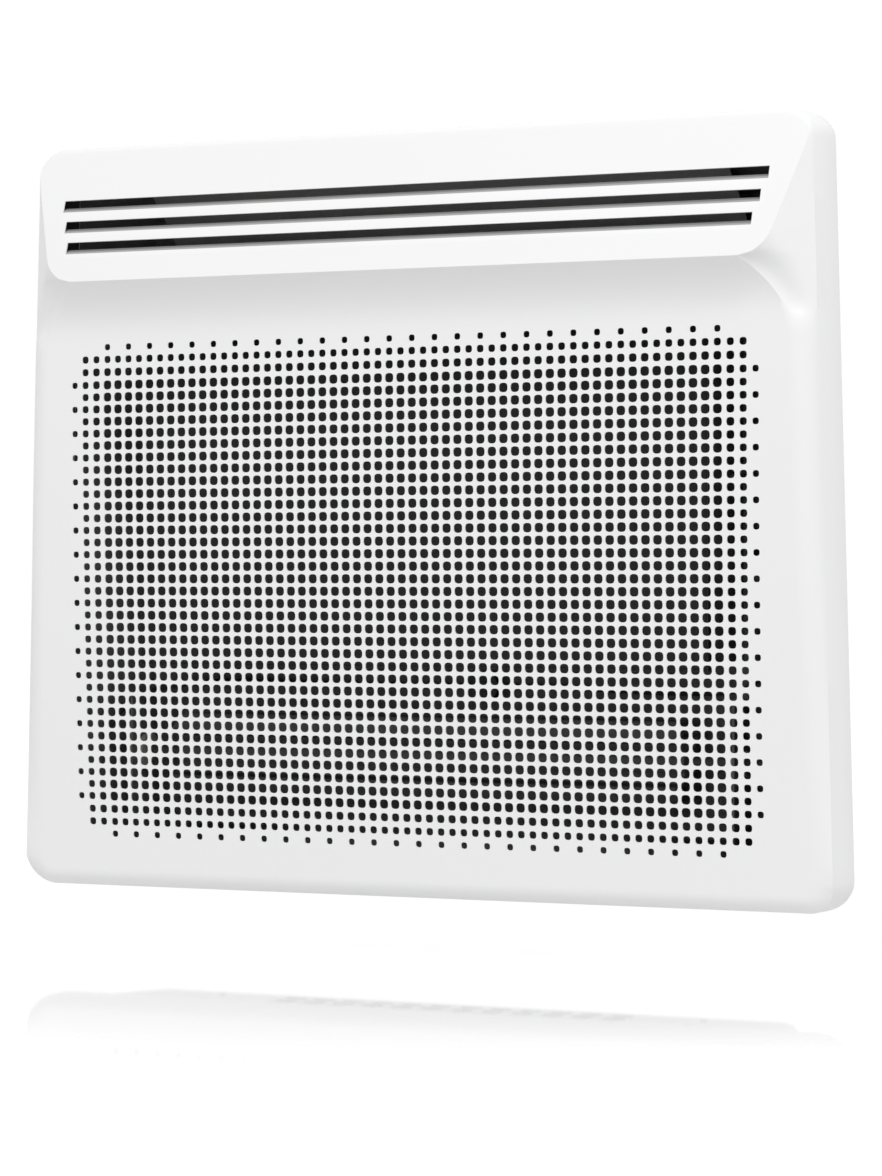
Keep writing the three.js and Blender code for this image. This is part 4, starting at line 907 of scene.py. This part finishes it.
mark_rise = 0.12
mark_stroke = 0.45
cap_radius, flange_radius, stem_radius = 4.2, 5.4, 1.5
stem_end = -7.5
cap_face = fascia_face + 1.1
cap_profile = [
    (0, stem_end), (stem_radius, stem_end), (stem_radius, -1), (flange_radius, -1), (flange_radius, 0),
    (cap_radius, 0), (cap_radius, cap_face - 0.7), (cap_radius - 0.2, cap_face - 0.25),
    (cap_radius - 0.7, cap_face),
    (2.9, cap_face - 0.1), (1.5, cap_face - 0.2), (0, cap_face - 0.22)]
mark_face = cap_face - 0.14
sign_width = 3
clock_radius = 1.7
button_heights = {"mode": 20, "minus": 5, "plus": -10, "timer": -25}
white_mark = surface("white_mark", (0.8, 0.8, 0.8), 0.5)
for name, height in button_heights.items():
    form = bmesh.new()
    turned_out(form, cap_profile, height)
    if name in ("minus", "plus"):
        bar_mark(form, mark_face, 0, height, sign_width, mark_stroke)
    if name == "plus":
        bar_mark(form, mark_face, 0, height, mark_stroke, sign_width)
    if name in ("mode", "timer"):
        ring_mark(form, mark_face, height, clock_radius)
    if name == "timer":
        bar_mark(form, mark_face, 0, height + 0.5, mark_stroke, 1.2)
        bar_mark(form, mark_face, 0.4, height, 1, mark_stroke)
    bmesh.ops.transform(form, matrix=to_heater, verts=form.verts)
    sharpen(form, 40, flat_face)
    dress(f"press_cap_{name}", form, f"button_{name}", [grey_nylon, white_mark],
          [f"button_{name}"])

switch_edge_round, rocker_edge_round = 0.3, 0.35
form = copy_of("power_switch")
round_edges(form, switch_edge_round)
sharpen(form, 40, flat_face)
dress("switch_body", form, "heater", [black_moulding], ["power_switch"])

rocker_height = -49
rocker_valley = 4.415
rocker_mark_offset = 4.1
on_bar_height, off_ring_radius = 2.8, 1.4
form = copy_of("power_rocker")
round_edges(form, rocker_edge_round)
bmesh.ops.transform(form, matrix=to_heater.inverted(), verts=form.verts)
bar_mark(form, rocker_valley, 0, rocker_height + rocker_mark_offset, mark_stroke, on_bar_height)

# The ring lies on the rocker's lower face, which leans away from the upper one.
lower_lean = math.radians(16)
lower_lift = 0.438
ring_place = (Matrix.Translation((rocker_valley, 0, rocker_height + lower_lift))
              @ Matrix.Rotation(lower_lean, 4, "Y") @ Matrix.Translation((0, 0, -rocker_mark_offset)))
ring = bmesh.new()
ring_mark(ring, 0, 0, off_ring_radius)
bmesh.ops.transform(ring, matrix=ring_place, verts=ring.verts)
ring_mesh = bpy.data.meshes.new("ring")
ring.to_mesh(ring_mesh)
ring.free()
form.from_mesh(ring_mesh)
bpy.data.meshes.remove(ring_mesh)
bmesh.ops.transform(form, matrix=to_heater, verts=form.verts)
sharpen(form, 40, flat_face)
dress("mains_rocker", form, "power_rocker", [black_moulding, white_mark], ["power_rocker"])
